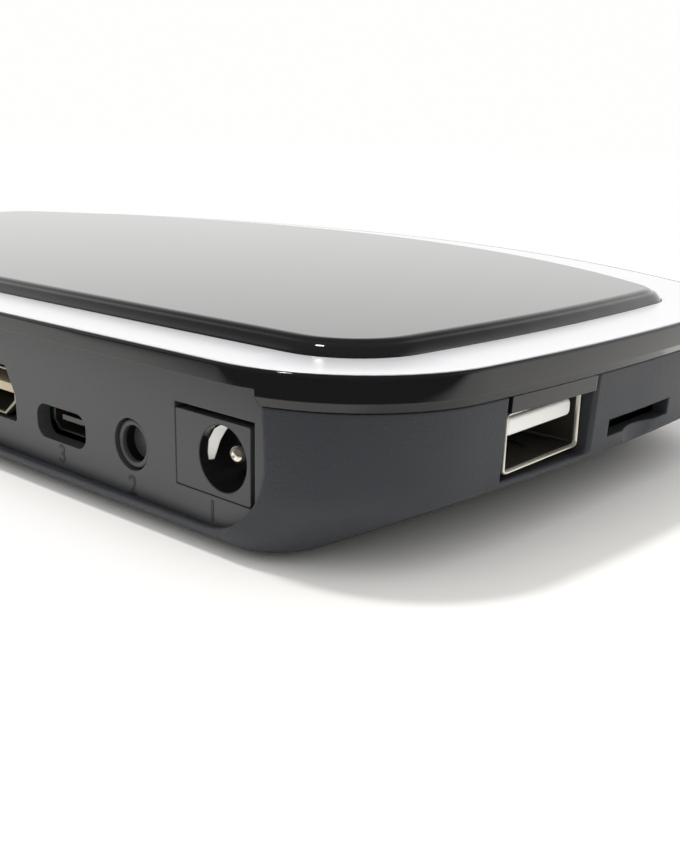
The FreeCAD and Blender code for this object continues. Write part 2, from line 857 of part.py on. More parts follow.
def cover_outer():
    """Make the outside of the upper cover: a lip that leans out, a straight band, a round rim."""
    bottom = number("cover_bottom")
    top = number("cover_top")
    full = -number("cover_overhang")
    edge = number("cover_round")
    lip_top = bottom + number("cover_lip_height")
    lip = outline(bottom, full + number("cover_lip_reach"))
    band = [outline(lip_top, full + number("cover_lean")), outline(top - edge, full)]
    solid = Part.makeLoft([lip, band[0]], True, True).fuse(Part.makeLoft(band, True, True))
    turns = [math.radians(90) * step / ROUND_STEPS for step in range(ROUND_STEPS + 1)]
    rim = [outline(top - edge + edge * math.sin(turn), full + edge - edge * math.cos(turn))
           for turn in turns]
    return solid.fuse(Part.makeLoft(rim, True, False)).removeSplitter()


def upper_cover(wall):
    """Make the glossy upper cover: skirt, deck, screw bosses and the tab over the side socket."""
    rim = -number("cover_overhang") + number("rim_width")
    skirt = -number("cover_overhang") + number("cover_wall")
    outer = feature("cover_outer", cover_outer())
    seat = feature("trim_seat", prism(rim, number("deck_top"), number("cover_top") + 1))
    room = feature("cover_room", prism(skirt, number("cover_bottom") - 1, number("deck_bottom")))
    bay = block("cover_bay", ("-bay_half_length", "bay_half_length"),
                ("plate_face - 1", "half_depth + 5"), ("cover_bottom - 1", "bay_top"))
    groove = block("cover_groove",
                   ("-bay_half_length - plate_tongue - plate_fit",
                    "bay_half_length + plate_tongue + plate_fit"),
                   ("plate_back - plate_fit", "plate_face + plate_fit"),
                   ("cover_bottom - 1", "plate_top + plate_fit"))
    shell = cut("cover_shell", outer, seat, room, bay, groove)
    bosses = [rod("cover_boss_%d" % place, "boss_radius - 0.5", (x, y, "boss_top"),
                  "deck_top - 0.5 - boss_top")
              for place, (x, y) in enumerate(SCREW_PLACES, start=1)]
    tab = common("port_tab", wall,
                 block("port_tab_block", ("-half_length - 3", "port_notch_depth - half_length"),
                       ("port_side_y - port_width / 2 - port_notch_far_gap + tab_gap",
                        "port_side_y + port_width / 2 + port_opening_gap - tab_gap"),
                       ("port_top + tab_lift", "seam + 0.5")))
    reach = number("neck_reach")
    ring = prism(reach, number("seam") - reach, number("cover_bottom") + 0.5)
    neck = common("port_tab_neck", feature("cover_neck_ring", ring),
                  block("port_neck_block", ("-half_length - 3", "-half_length + wall_thickness"),
                        ("port_side_y - port_width / 2 - port_notch_far_gap + tab_gap",
                         "port_side_y + port_width / 2 + port_opening_gap - tab_gap"),
                        ("seam - neck_reach", "cover_bottom + 0.5")))
    solid = fuse("cover_solid", shell, tab, neck, *bosses)
    holes = [rod("cover_pilot_%d" % place, "screw_radius + screw_play", (x, y, "boss_top - 1"),
                 "screw_seat + screw_length + 1.5 - boss_top")
             for place, (x, y) in enumerate(SCREW_PLACES, start=1)]
    node(cut("upper_cover", solid, *holes), "upper_cover")


def silver_trim():
    """Make the broad silver ledge as a ring whose top falls a little inwards."""
    outer_inset = -number("cover_overhang") + number("rim_width") + number("trim_gap")
    inner_inset = outer_inset + number("trim_width") - 2 * number("trim_gap")
    top = number("cover_top")
    bottom = number("deck_top")
    body = prism(outer_inset, bottom, top - number("trim_slope"))
    crown = Part.makeLoft([outline(top - number("trim_slope"), outer_inset),
                           outline(top, outer_inset + number("trim_lip"))], True, True)
    dish = Part.makeLoft([outline(top + 0.01, outer_inset + number("trim_lip") + 0.01),
                          outline(top - number("trim_slope"), inner_inset)], True, True)
    ring = body.fuse(crown).cut(dish).cut(prism(inner_inset, bottom - 1, top + 1))
    node(feature("silver_trim", ring.removeSplitter()), "silver_trim")


def top_panel():
    """Make the raised glossy panel with its sloping edge, which is a little rounded."""
    inset = number("panel_side_inset")
    shoulder = number("cover_top - trim_slope")
    top = number("panel_top")
    body = prism(inset, number("deck_top"), shoulder)
    rise = top - shoulder
    width = number("bevel_width")
    steep = math.radians(number("bevel_steep"))
    flat = math.radians(number("bevel_flat"))
    turns = [steep + (flat - steep) * step / ROUND_STEPS for step in range(ROUND_STEPS + 1)]
    across = [math.sin(turn) for turn in (steep, flat)]
    up = [math.cos(turn) for turn in (steep, flat)]
    levels = [outline(shoulder + rise * (math.cos(turn) - up[0]) / (up[1] - up[0]),
                      inset + width * (across[0] - math.sin(turn)) / (across[0] - across[1]))
              for turn in turns]
    crown = Part.makeLoft(levels, True, False)
    node(feature("top_panel", body.fuse(crown).removeSplitter()), "top_panel")


def rear_port_plate():
    """Make the socket plate with its openings and rounded lower corners."""
    plate = block("plate_block", ("-bay_half_length - plate_tongue", "bay_half_length + plate_tongue"),
                  ("plate_back", "plate_face"), ("plate_bottom", "plate_top"))
    blank = lower_corners("plate_blank", plate, "bay_corner_radius + plate_tongue", "plate_bottom")
    shape = cut("rear_port_plate", blank,
                *plate_openings(("plate_back - 1", "plate_face + 1")))
    node(shape, "rear_port_plate")


def revolved(name, profile, places):
    """Turn a closed profile about Z and stand a copy at each place."""
    wire = Part.makePolygon([Vector(radius, 0, height) for radius, height in profile + profile[:1]])
    solid = Part.Face(wire).revolve(Vector(), Vector(0, 0, 1), 360)
    copies = []
    for place, spot in enumerate(places, start=1):
        copy = feature("%s_%d" % (name, place), solid)
        bind_place(copy, spot)
        copies.append(copy)
    return copies


def rubber_feet():
    """Make the four feet, seated in the floor."""
    edge = number("foot_round")
    radius = number("foot_radius")
    height = number("foot_reach + foot_seat_depth")
    profile = [(0, 0), (radius - edge, 0), (radius, edge), (radius, height), (0, height)]
    group("rubber_feet", revolved("foot", profile, [(x, y, "0") for x, y in FOOT_PLACES]))


def screw_set(name, values, places):
    """Make a set of screws with a cross drive, head at the origin of each place.

    The values are the shank's radius and length, the head's radius and height, and a sign that is
    1 where the shank points up and -1 where it points down.
    """
    shank, length, head, height, sign = values
    tip = shank
    profile = [(0, sign * length), (shank * 0.4, sign * length), (shank, sign * (length - tip)),
               (shank, 0), (head, 0), (head, -sign * height * 0.6),
               (head * 0.8, -sign * height), (0, -sign * height)]
    depth = number("drive_depth")
    width = number("drive_width")
    pieces = []
    for place, screw in enumerate(revolved(name + "_body", profile, places), start=1):
        x, y, seat = places[place - 1]
        low = "%s - %g" % (seat, height) if sign > 0 else "%s + %g" % (seat, height - depth)
        bars = []
        for direction in (0, 1):
            sides = [about(x, str(width if direction else 1.2 * head)),
                     about(y, str(1.2 * head if direction else width))]
            bars.append(block("%s_%d_drive_%d" % (name, place, direction), sides[0], sides[1],
                              (low + " - 0.1" if sign > 0 else low, "%s + %g" % (low, depth + 0.1))))
        pieces.append(cut("%s_%d" % (name, place), screw, *bars))
    return group(name, pieces)


def case_screws():
    """Make the four screws that hold the cover to the lower case."""
    values = (number("screw_radius"), number("screw_length"), number("screw_head_radius"),
              number("screw_head_height"), 1)
    screw_set("case_screws", values, [(x, y, "screw_seat") for x, y in SCREW_PLACES])


def board_screws():
    """Make the four screws that hold the board to its posts."""
    values = (number("board_screw_radius"), number("board_screw_length"),
              number("board_screw_head_radius"), number("board_screw_head_height"), -1)
    screw_set("board_screws", values, [(x, y, "board_top") for x, y in POST_PLACES])


def main_board():
    """Make the circuit board, with notches for the sunk sockets and holes for the bosses."""
    inset = number("board_side_inset")
    rear_inset = number("half_depth - board_rear")
    face = Part.Face(outline(number("board_bottom"), inset, rear_inset))
    blank = feature("board_blank", face.extrude(Vector(0, 0, number("board_thickness"))))
    through = ("board_bottom - 1", "board_top + 1")
    beyond = "board_rear + 1"
    cutters = [
        block("board_power_notch", about("power_x", "power_width + 2 * notch_gap"),
              ("power_face - power_length - notch_gap", beyond), through),
        block("board_sound_notch", about("sound_x", "sound_body_width + 2 * notch_gap"),
              ("sound_block_face - sound_body_length - notch_gap", beyond), through),
        block("board_micro_notch", about("micro_x", "micro_width + 2 * notch_gap"),
              ("micro_face - micro_length - notch_gap", beyond), through),
        block("board_picture_notch", about("picture_x", "picture_width + 2 * notch_gap"),
              ("plate_face - picture_length - notch_gap", beyond), through),
        block("board_network_notch", about("network_x", "network_width + 2 * notch_gap"),
              ("plate_face - network_length - notch_gap", beyond), through),
    ]
    for place, (x, y) in enumerate(SCREW_PLACES, start=1):
        cutters.append(rod("board_boss_hole_%d" % place, "boss_radius + boss_clearance",
                           (x, y, "board_bottom - 1"), "board_thickness + 2"))
    for place, (x, y) in enumerate(POST_PLACES, start=1):
        cutters.append(rod("board_screw_hole_%d" % place, "board_screw_radius + screw_play",
                           (x, y, "board_bottom - 1"), "board_thickness + 2"))
    node(cut("main_board", blank, *cutters), "main_board")


def port_socket(name, direction, mouth, centre):
    """Make one type A socket: shell, tongue and contacts, with its mouth at a place on an axis.

    The direction is "x" with the mouth facing -X, or "y" with the mouth facing +Y.
    """
    def spans(near, far, across, heights):
        if direction == "x":
            return ("(%s) + %s" % (mouth, near), "(%s) + %s" % (mouth, far)), across, heights
        return across, ("(%s) - (%s)" % (mouth, far), "(%s) - (%s)" % (mouth, near)), heights

    along = runs_along(direction)
    outer = rounded(name + "_outer",
                    block(name + "_outer_block",
                          *spans("0", "port_length", about(centre, "port_width"),
                                 ("board_top", "port_top"))),
                    "small_round", along)
    inner = block(name + "_inner",
                  *spans("-1", "port_length - port_sheet", about(centre, "port_width - 2 * port_sheet"),
                         ("board_top + port_sheet", "port_top - port_sheet")))
    shell = cut(name + "_shell", outer, inner)
    tongue_top = "port_top - port_sheet - port_tongue_gap"
    blade = block(name + "_blade",
                  *spans("port_tongue_recess", "port_length - port_sheet - 2 * piece_gap",
                         about(centre, "port_tongue_width"),
                         (tongue_top + " - port_tongue_thickness", tongue_top)))
    root = block(name + "_root",
                 *spans("port_length - port_tongue_root", "port_length - port_sheet - piece_gap",
                        about(centre, "port_width - 2 * port_sheet - 2 * piece_gap"),
                        ("board_top + port_sheet + piece_gap", "port_top - port_sheet - piece_gap")))
    tongue = rounded(name + "_tongue", fuse(name + "_tongue_block", blade, root), "0.25",
                     lambda edge: edge.Length > number("port_tongue_width") - 0.01
                     and not along(edge) and on_front(edge, direction, mouth))
    contacts = []
    for place in range(4):
        middle = "%s + %g * port_contact_pitch" % (centre, place - 1.5)
        low = tongue_top + " - port_tongue_thickness"
        contacts.append(block("%s_contact_%d" % (name, place + 1),
                              *spans("port_tongue_recess + 1", "port_length - port_tongue_root",
                                     about(middle, "port_contact_width"),
                                     (low + " - port_contact_thickness", low))))
    return shell, tongue, contacts


def on_front(edge, direction, mouth):
    """Say whether an edge lies on the front of a socket's tongue."""
    middle = edge.CenterOfMass
    near = middle.x if direction == "x" else middle.y
    return abs(near - number(mouth)) < number("port_tongue_recess") + number("piece_gap")


def port_sockets():
    """Make the side socket and the two rear sockets."""
    shell, tongue, contacts = port_socket("side_port", "x", "port_side_mouth", "port_side_y")
    node(shell, "side_port_shell")
    node(tongue, "side_port_tongue")
    group("side_port_contacts", contacts)
    shells, tongues, all_contacts = [], [], []
    for place, centre in enumerate(REAR_PORT_PLACES, start=1):
        shell, tongue, contacts = port_socket("rear_port_%d" % place, "y", "port_rear_mouth", centre)
        shells.append(shell)
        tongues.append(tongue)
        all_contacts.extend(contacts)
    group("rear_port_shells", shells)
    group("rear_port_tongues", tongues)
    group("rear_port_contacts", all_contacts)


def power_jack():
    """Make the barrel jack: body, centre pin and spring blade."""
    back = "power_face - power_length"
    body = block("power_block", about("power_x", "power_width"), (back, "power_face"),
                 ("power_bottom", "power_top"))
    bore = rod("power_bore", "power_bore_radius",
               ("power_bore_x", "power_face - power_bore_depth", "power_bore_z"),
               "power_bore_depth + 1", "y")
    pin_hole = rod("power_pin_hole", "power_pin_radius", ("power_bore_x", back + " - 1", "power_bore_z"),
                   "power_length", "y")
    blade_space = block("power_blade_space", about("power_bore_x", "power_blade_width + 0.2"),
                        ("power_face - power_bore_depth", "power_face - 2.5"),
                        ("power_bore_z - power_bore_radius - power_blade_thickness",
                         "power_bore_z"))
    softened = rounded("power_body_block", body, "small_round / 2", runs_along("y"))
    node(cut("power_jack_body", softened, bore, pin_hole, blade_space), "power_jack_body")
    pin_start = "power_face - power_length"
    pin_length = "power_length - power_pin_setback"
    shaft = rod("power_shaft", "power_pin_radius", ("power_bore_x", pin_start, "power_bore_z"),
                pin_length, "y")
    tip = rounded("power_jack_pin", shaft, "power_pin_radius * 0.6",
                  lambda edge: abs(edge.CenterOfMass.y - number(pin_start) - number(pin_length)) < 0.01
                  and not runs_along("y")(edge))
    node(tip, "power_jack_pin")
    blade = block("power_jack_blade", about("power_bore_x", "power_blade_width"),
                  ("power_face - power_bore_depth", "power_face - 2.7"),
                  ("power_bore_z - power_bore_radius - power_blade_thickness",
                   "power_bore_z - power_bore_radius"))
    node(blade, "power_jack_blade")


def sound_jack():
    """Make the analogue jack: body with its nozzle, and the metal ring in the bore."""
    half = "sound_body_height / 2"
    body = block("sound_block", about("sound_x", "sound_body_width"),
                 ("sound_block_face - sound_body_length", "sound_block_face"),
                 ("sound_z - %s" % half, "sound_z + %s" % half))
    nozzle = rod("sound_nozzle", "sound_nozzle_radius",
                 ("sound_x", "sound_block_face - 1", "sound_z"),
                 "sound_face - sound_block_face + 1", "y")
    bore = rod("sound_bore", "sound_bore_radius",
               ("sound_x", "sound_face - sound_bore_depth", "sound_z"), "sound_bore_depth + 1", "y")
    seat = rod("sound_ring_seat", "sound_bore_radius + sound_ring_width",
               ("sound_x", "sound_face - sound_bore_depth", "sound_z"), "2", "y")
    node(cut("sound_jack_body", fuse("sound_solid", body, nozzle), bore, seat), "sound_jack_body")
    ring = rod("sound_ring_blank", "sound_bore_radius + sound_ring_width",
               ("sound_x", "sound_face - sound_bore_depth", "sound_z"), "2", "y")
    hole = rod("sound_ring_hole", "sound_bore_radius",
               ("sound_x", "sound_face - sound_bore_depth - 1", "sound_z"), "4", "y")
    node(cut("sound_jack_ring", ring, hole), "sound_jack_ring")


def micro_socket():
    """Make the small five-contact socket: shell and tongue."""
    depth = ("micro_face - micro_length", "micro_face")
    outer = rounded("micro_outer",
                    block("micro_outer_block", about("micro_x", "micro_width"), depth,
                          about("micro_z", "micro_shell_height")),
                    "micro_shell_height / 3", runs_along("y"))
    inner = rounded("micro_inner",
                    block("micro_inner_block", about("micro_x", "micro_width - 2 * micro_sheet"),
                          ("micro_face - micro_length + micro_sheet", "micro_face + 1"),
                          about("micro_z", "micro_shell_height - 2 * micro_sheet")),
                    "micro_shell_height / 4", runs_along("y"))
    node(cut("micro_port_shell", outer, inner), "micro_port_shell")
    back = "micro_face - micro_length + micro_sheet"
    tongue = block("micro_blade", about("micro_x", "micro_tongue_width"), (back, "micro_face - 0.6"),
                   ("micro_z + piece_gap", "micro_z + piece_gap + micro_tongue_thickness"))
    root = block("micro_root", about("micro_x", "micro_width * 0.7"), (back, back + " + 1.2"),
                 about("micro_z", "micro_shell_height - 2 * micro_sheet"))
    node(fuse("micro_port_tongue", tongue, root), "micro_port_tongue")


def picture_socket():
    """Make the digital picture socket: six-sided shell and tongue."""
    face = "plate_face - socket_setback"
    outer = picture_prism("picture_outer", "0", ("plate_face - picture_length", face))
    inner = picture_prism("picture_inner", "-picture_sheet",
                          ("plate_face - picture_length + picture_sheet", "plate_face + 1"))
    node(cut("picture_shell", outer, inner), "picture_shell")
    back = "plate_face - picture_length + picture_sheet"
    middle = "picture_bottom + picture_height / 2"
    blade = block("picture_blade", about("picture_x", "picture_tongue_width"),
                  (back, face + " - 1.2"), about(middle, "picture_tongue_thickness"))
    root = block("picture_root", about("picture_x", "picture_narrow - 2 * picture_sheet - 0.2"),
                 (back, back + " + 2"), about(middle, "picture_height - 2 * picture_sheet - 2 * piece_gap"))
    node(fuse("picture_tongue", blade, root), "picture_tongue")


def network_socket():
    """Make the network socket: shield, housing with its mouth, and eight contacts."""
    face = "plate_face - socket_setback"
    back = "plate_face - network_length"
    top = "network_bottom + network_height"
    sheet_inner = "network_width - 2 * network_sheet"
    outer = block("network_outer", about("network_x", "network_width"), (back, face),
                  ("network_bottom", top))
    inner = block("network_shield_room", about("network_x", sheet_inner),
                  (back + " + network_sheet", face + " + 1"),
                  ("network_bottom + network_sheet", top + " - network_sheet"))
    node(cut("network_shield", outer, inner), "network_shield")
    body = block("network_block", about("network_x", sheet_inner),
                 (back + " + network_sheet", face + " - 0.2"),
                 ("network_bottom + network_sheet", top + " - network_sheet"))
    mouth_low = "network_bottom + 2.2"
    mouth = block("network_mouth", about("network_x", "network_mouth_width"),
                  (face + " - network_mouth_depth", face + " + 1"),
                  (mouth_low, mouth_low + " + network_mouth_height"))
    latch = block("network_latch", about("network_x", "network_latch_width"),
                  (face + " - network_mouth_depth", face + " + 1"),
                  (mouth_low + " - network_latch_height", mouth_low + " + 0.1"))
    node(cut("network_housing", body, mouth, latch), "network_housing")
    contacts = []
    count = int(number("network_contact_count"))
    for place in range(count):
        middle = "network_x + %g * network_contact_pitch" % (place - (count - 1) / 2)
        high = mouth_low + " + network_mouth_height"
        contacts.append(block("network_contact_%d" % (place + 1),
                              about(middle, "network_contact_width"),
                              (face + " - network_mouth_depth", face + " - 2.5"),
                              (high + " - 0.35", high)))
    group("network_contacts", contacts)


def card_socket():
    """Make the memory card socket: base, sheet cover, carriage and its spring."""
    far = "card_mouth + card_length"
    low, high = about("card_y", "card_width")
    top = "board_top + card_height"
    lid = block("card_lid_outer", ("card_mouth", far), (low, high),
                ("board_top + card_floor", top))
    under = block("card_lid_room", ("card_mouth - 1", far + " - card_sheet"),
                  (low + " + card_sheet", high + " - card_sheet"),
                  ("board_top", top + " - card_sheet"))
    node(cut("card_socket_cover", lid, under), "card_socket_cover")
    floor = block("card_floor_plate", ("card_mouth", far), (low, high),
                  ("board_top", "board_top + card_floor"))
    stop = block("card_stop", (far + " - 1.2", far + " - card_sheet - piece_gap"),
                 (low + " + card_sheet + piece_gap", high + " - card_sheet - piece_gap"),
                 ("board_top", "board_top + card_floor + 1"))
    node(fuse("card_socket_base", floor, stop), "card_socket_base")
    lane = (low + " + card_sheet + card_play", low + " + card_sheet + card_play + card_carriage_width")
    seat = "board_top + card_floor + card_play / 2"
    start = "card_mouth + 2"
    rail = block("card_carriage_rail", (start, start + " + card_carriage_length"), lane,
                 (seat, seat + " + card_carriage_height"))
    hook = block("card_carriage_hook",
                 (start + " + card_carriage_length - 1", start + " + card_carriage_length"),
                 (lane[0], lane[0] + " + card_carriage_width + 2.5"),
                 (seat, seat + " + card_carriage_height"))
    node(fuse("card_carriage", rail, hook), "card_carriage")
    spring_start = start + " + card_carriage_length + piece_gap"
    spring_end = far + " - 1.25"
    centre_y = lane[0] + " + card_carriage_width / 2"
    centre_z = seat + " + card_carriage_height / 2"
    coil = rod("card_spring_blank", "card_spring_radius", (spring_start, centre_y, centre_z),
               "(%s) - (%s)" % (spring_end, spring_start), "x")
    hollow = rod("card_spring_hollow", "card_spring_radius * 0.55",
                 (spring_start + " - 1", centre_y, centre_z),
                 "(%s) - (%s) + 2" % (spring_end, spring_start), "x")
    node(cut("card_spring", coil, hollow), "card_spring")


def reset_switch():
    """Make the reset switch under the board: body and plunger."""
    body = block("reset_block", about("reset_x", "reset_side"), about("reset_y", "reset_side"),
                 ("reset_body_bottom", "board_bottom"))
    well = rod("reset_well", "reset_plunger_radius + reset_play",
               ("reset_x", "reset_y", "reset_body_bottom - 1"), "1 + reset_body_height * 0.7")
    node(cut("reset_switch_body", body, well), "reset_switch_body")
    plunger = rod("reset_plunger", "reset_plunger_radius",
                  ("reset_x", "reset_y", "reset_body_bottom - reset_plunger_reach"),
                  "reset_plunger_reach + reset_body_height * 0.7 - reset_travel - 0.1")
    node(plunger, "reset_plunger")


def sketch_rectangle(sketch, width, height, centre_x="0", centre_y="0"):
    """Draw a rectangle whose size and place are bound to the sheet."""
    half_x, half_y = number(width) / 2, number(height) / 2
    x, y = number(centre_x), number(centre_y)
    corners = [Vector(x - half_x, y - half_y, 0), Vector(x + half_x, y - half_y, 0),
               Vector(x + half_x, y + half_y, 0), Vector(x - half_x, y + half_y, 0)]
    first = sketch.GeometryCount
    for place in range(4):
        sketch.addGeometry(Part.LineSegment(corners[place], corners[(place + 1) % 4]))
    for place in range(4):
        sketch.addConstraint(Sketcher.Constraint("Coincident", first + place, 2,
                                                 first + (place + 1) % 4, 1))
    for place, rule in enumerate(("Horizontal", "Vertical", "Horizontal", "Vertical")):
        sketch.addConstraint(Sketcher.Constraint(rule, first + place))
    rules = [
        ("DistanceX", (first, 1, first, 2), width),
        ("DistanceY", (first + 1, 1, first + 1, 2), height),
        ("DistanceX", (-1, 1, first + 2, 1), "%s + (%s) / 2" % (centre_x, width)),
        ("DistanceY", (-1, 1, first + 2, 1), "%s + (%s) / 2" % (centre_y, height)),
    ]
    for rule, ends, text in rules:
        index = sketch.addConstraint(Sketcher.Constraint(rule, *ends, number(text)))
        sketch.setExpression("Constraints[%d]" % index, formula(text))


def body_sketch(body, name, height):
    """Make a sketch on a body's base plane, raised to a height."""
    plane = [item for item in body.Origin.OriginFeatures if item.Role == "XY_Plane"][0]
    sketch = body.newObject("Sketcher::SketchObject", name)
    sketch.AttachmentSupport = (plane, [""])
    sketch.MapMode = "FlatFace"
    sketch.setExpression("AttachmentOffset.Base.z", formula(height))
    return sketch


def body_pad(body, name, sketch, length):
    """Raise a body's sketch by a length."""
    pad = body.newObject("PartDesign::Pad", name)
    pad.Profile = sketch
    pad.setExpression("Length", formula(length))
    sketch.Visibility = False
    return pad


def heat_sink():
    """Make the finned heat sink as a body: base, first fin and a pattern of fins."""
    body = doc.addObject("PartDesign::Body", "heat_sink")
    base = body_sketch(body, "sink_base_sketch", "sink_bottom")
    sketch_rectangle(base, "sink_side", "sink_side", "0", "processor_y")
    body_pad(body, "sink_base_pad", base, "sink_base")
    fin = body_sketch(body, "sink_fin_sketch", "sink_bottom + sink_base")
    sketch_rectangle(fin, "sink_fin_thickness", "sink_side",
                     "sink_fin_thickness / 2 - sink_side / 2", "processor_y")
    first = body_pad(body, "sink_fin_pad", fin, "sink_height - sink_base")
    doc.recompute()
    pattern = body.newObject("PartDesign::LinearPattern", "sink_fins")
    pattern.Originals = [first]
    axis = [item for item in body.Origin.OriginFeatures if item.Role == "X_Axis"][0]
    pattern.Direction = (axis, [""])
    pattern.setExpression("Length", formula("sink_side - sink_fin_thickness"))
    pattern.setExpression("Occurrences", formula("sink_fin_count"))
    body.Tip = pattern
    node(body, "heat_sink")


def plain_body(name, width, length, height, bottom, centre_x="0", centre_y="0"):
    """Make a flat rectangular sub-part as a body with one pad."""
    body = doc.addObject("PartDesign::Body", name)
    sketch = body_sketch(body, name + "_sketch", bottom)
    sketch_rectangle(sketch, width, length, centre_x, centre_y)
    body_pad(body, name + "_pad", sketch, height)
    return node(body, name)


def chips():
    """Make the processor, its thermal pad, and the memory and flash chips."""
    plain_body("processor", "processor_side", "processor_side", "processor_height", "board_top",
               "0", "processor_y")
    plain_body("thermal_pad", "pad_side", "pad_side", "pad_thickness", "chip_top",
               "0", "processor_y")
    plain_body("flash_chip", "flash_width", "flash_length", "flash_height", "board_top",
               "0", "flash_y")
    memory = []
    for side in (-1, 1):
        for row in (-0.5, 0.5):
            memory.append(block("memory_%d" % (len(memory) + 1),
                                about("%d * memory_x" % side, "memory_width"),
                                about("processor_y + %g * memory_pitch" % row, "memory_length"),
                                ("board_top", "board_top + memory_height")))
    group("memory_chips", memory)


def power_parts():
    """Make the round capacitors, the shielded coils and the regulators."""
    cans = []
    for row in (-0.5, 0.5):
        spot = "can_y + %g * can_pitch" % row
        can = rod("can_%d" % (len(cans) + 1), "can_radius", ("can_x", spot, "board_top + 0.6"),
                  "can_height - 0.6")
        base = block("can_base_%d" % (len(cans) + 1), about("can_x", "2 * can_radius + 0.2"),
                     about(spot, "2 * can_radius + 0.2"), ("board_top", "board_top + 0.7"))
        cans.append(fuse("capacitor_%d" % (len(cans) + 1), can, base))
    group("capacitors", cans)
    coils = []
    for row in (-1, 0, 1):
        coil = block("coil_block_%d" % (len(coils) + 1), about("coil_x", "coil_side"),
                     about("coil_y + %d * coil_pitch" % row, "coil_side"),
                     ("board_top", "board_top + coil_height"))
        coils.append(rounded("coil_%d" % (len(coils) + 1), coil, "3 * small_round",
                             runs_along("z")))
    group("power_coils", coils)
    regulators = [block("regulator_%d" % (row + 1),
                        about("regulator_x - %d * regulator_pitch" % row, "regulator_width"),
                        about("regulator_y", "regulator_length"),
                        ("board_top", "board_top + regulator_height"))
                  for row in range(2)]
    group("regulators", regulators)
    crystal = block("crystal_block", about("crystal_x", "crystal_width"),
                    about("crystal_y", "crystal_length"), ("board_top", "board_top + crystal_height"))
    node(rounded("crystal", crystal, "crystal_width * 0.45", runs_along("z")), "crystal")
    plain_body("network_transformer", "transformer_width", "transformer_length",
               "transformer_height", "board_top", "network_x", "transformer_y")


def tangent_path(points, radius):
    """Join straight runs with tangent arcs of one radius, as one wire."""
    edges = []
    start = points[0]
    for place in range(1, len(points) - 1):
        corner = points[place]
        back = (points[place - 1] - corner).normalize()
        ahead = (points[place + 1] - corner).normalize()
        half = back.getAngle(ahead) / 2
        reach = radius / math.tan(half)
        first = corner + back * reach
        second = corner + ahead * reach
        bisector = (back + ahead).normalize()
        middle = corner + bisector * (radius / math.sin(half) - radius)
        edges.append(Part.LineSegment(start, first).toShape())
        edges.append(Part.Arc(first, middle, second).toShape())
        start = second
    edges.append(Part.LineSegment(start, points[-1]).toShape())
    return Part.Wire(edges)


def radio():
    """Make the radio module, its can, the aerial under the deck and the lead between them."""
    plain_body("radio_board", "radio_width", "radio_length", "radio_board", "board_top",
               "radio_x", "radio_y")
    outer = block("radio_can_outer", about("radio_x", "radio_width - 2 * radio_margin"),
                  ("radio_y - radio_length / 2 + 4", "radio_y + radio_length / 2 - radio_margin"),
                  ("board_top + radio_board", "board_top + radio_board + radio_can"))
    room = block("radio_can_room", about("radio_x", "radio_width - 2 * radio_margin - 0.4"),
                 ("radio_y - radio_length / 2 + 4.2", "radio_y + radio_length / 2 - radio_margin - 0.2"),
                 ("board_top + radio_board - 1", "board_top + radio_board + radio_can - 0.2"))
    node(cut("radio_can", outer, room), "radio_can")
    aerial = block("aerial", about("aerial_x", "aerial_length"), about("aerial_y", "aerial_width"),
                   ("deck_bottom - aerial_thickness", "deck_bottom"))
    node(aerial, "aerial")
    thick = number("lead_radius")
    x = number("radio_x")
    start = Vector(x, number("radio_y - radio_length / 2 + 2"), number("board_top + radio_board"))
    end_y = number("aerial_y")
    end_z = number("deck_bottom - aerial_thickness")
    level = start.z + 3.2
    points = [start, Vector(start.x, start.y, level), Vector(start.x, end_y, level + 0.8),
              Vector(start.x, end_y, end_z)]
    path = tangent_path(points, 4 * thick)
    profile = Part.Wire([Part.makeCircle(thick, start, Vector(0, 0, 1))])
    tube = path.makePipeShell([profile], True, False)
    node(feature("aerial_lead", tube), "aerial_lead")


def front_parts():
    """Make the remote control receiver and the status lamp behind the front window."""
    inset = number("board_side_inset")
    bow = number("front_bow_radius")
    centre_y = bow - number("half_depth")

    def edge_at(x):
        return centre_y - math.sqrt((bow - inset) ** 2 - x ** 2)

    receiver_x = number("window_x + receiver_offset")
    near = edge_at(receiver_x) + number("front_part_gap")
    width = number("receiver_width")
    length = number("receiver_length")
    floor = number("board_top")
    body = Part.makeBox(width, length, number("receiver_height"),
                        Vector(receiver_x - width / 2, near, floor))
    lens = Part.makeCylinder(number("receiver_lens_radius"), number("receiver_height") * 0.8,
                             Vector(receiver_x, near, floor + number("receiver_height") * 0.1),
                             Vector(0, 0, 1))
    node(feature("remote_receiver", body.fuse(lens).removeSplitter()), "remote_receiver")
    lamp_x = number("window_x + lamp_offset")
    radius = number("lamp_radius")
    near = edge_at(lamp_x) + number("front_part_gap") + radius
    height = number("lamp_height")
    stem = Part.makeCylinder(radius, height - radius, Vector(lamp_x, near, floor))
    dome = Part.makeSphere(radius, Vector(lamp_x, near, floor + height - radius))
    node(feature("status_lamp", stem.fuse(dome).removeSplitter()), "status_lamp")


def check(document):
    """Stop if an object failed or a sub-part's shape is not sound."""
    for item in document.Objects:
        if "Invalid" in item.State or "Error" in item.State:
            raise RuntimeError("%s is %s" % (item.Name, item.State))
    for name, piece in nodes.items():
        shape = piece.Shape
        if shape.isNull() or not shape.isValid() or not shape.Solids:
            raise RuntimeError("%s has no sound shape" % name)


def build():
    """Make every sub-part."""
    wall = lower_case()
    front_window(wall)
    upper_cover(wall)
    silver_trim()
    top_panel()
    rear_port_plate()
    rubber_feet()
    case_screws()
    board_screws()
    main_board()
    port_sockets()
    power_jack()
    sound_jack()
    micro_socket()
    picture_socket()
    network_socket()
    card_socket()
    reset_switch()
    chips()
    heat_sink()
    power_parts()
    radio()
    front_parts()


build()
doc.recompute()
check(doc)
os.makedirs("parts", exist_ok=True)
for label, piece in nodes.items():
    piece.Shape.exportStep("parts/%s.step" % label)
print(len(nodes), "sub-parts written")
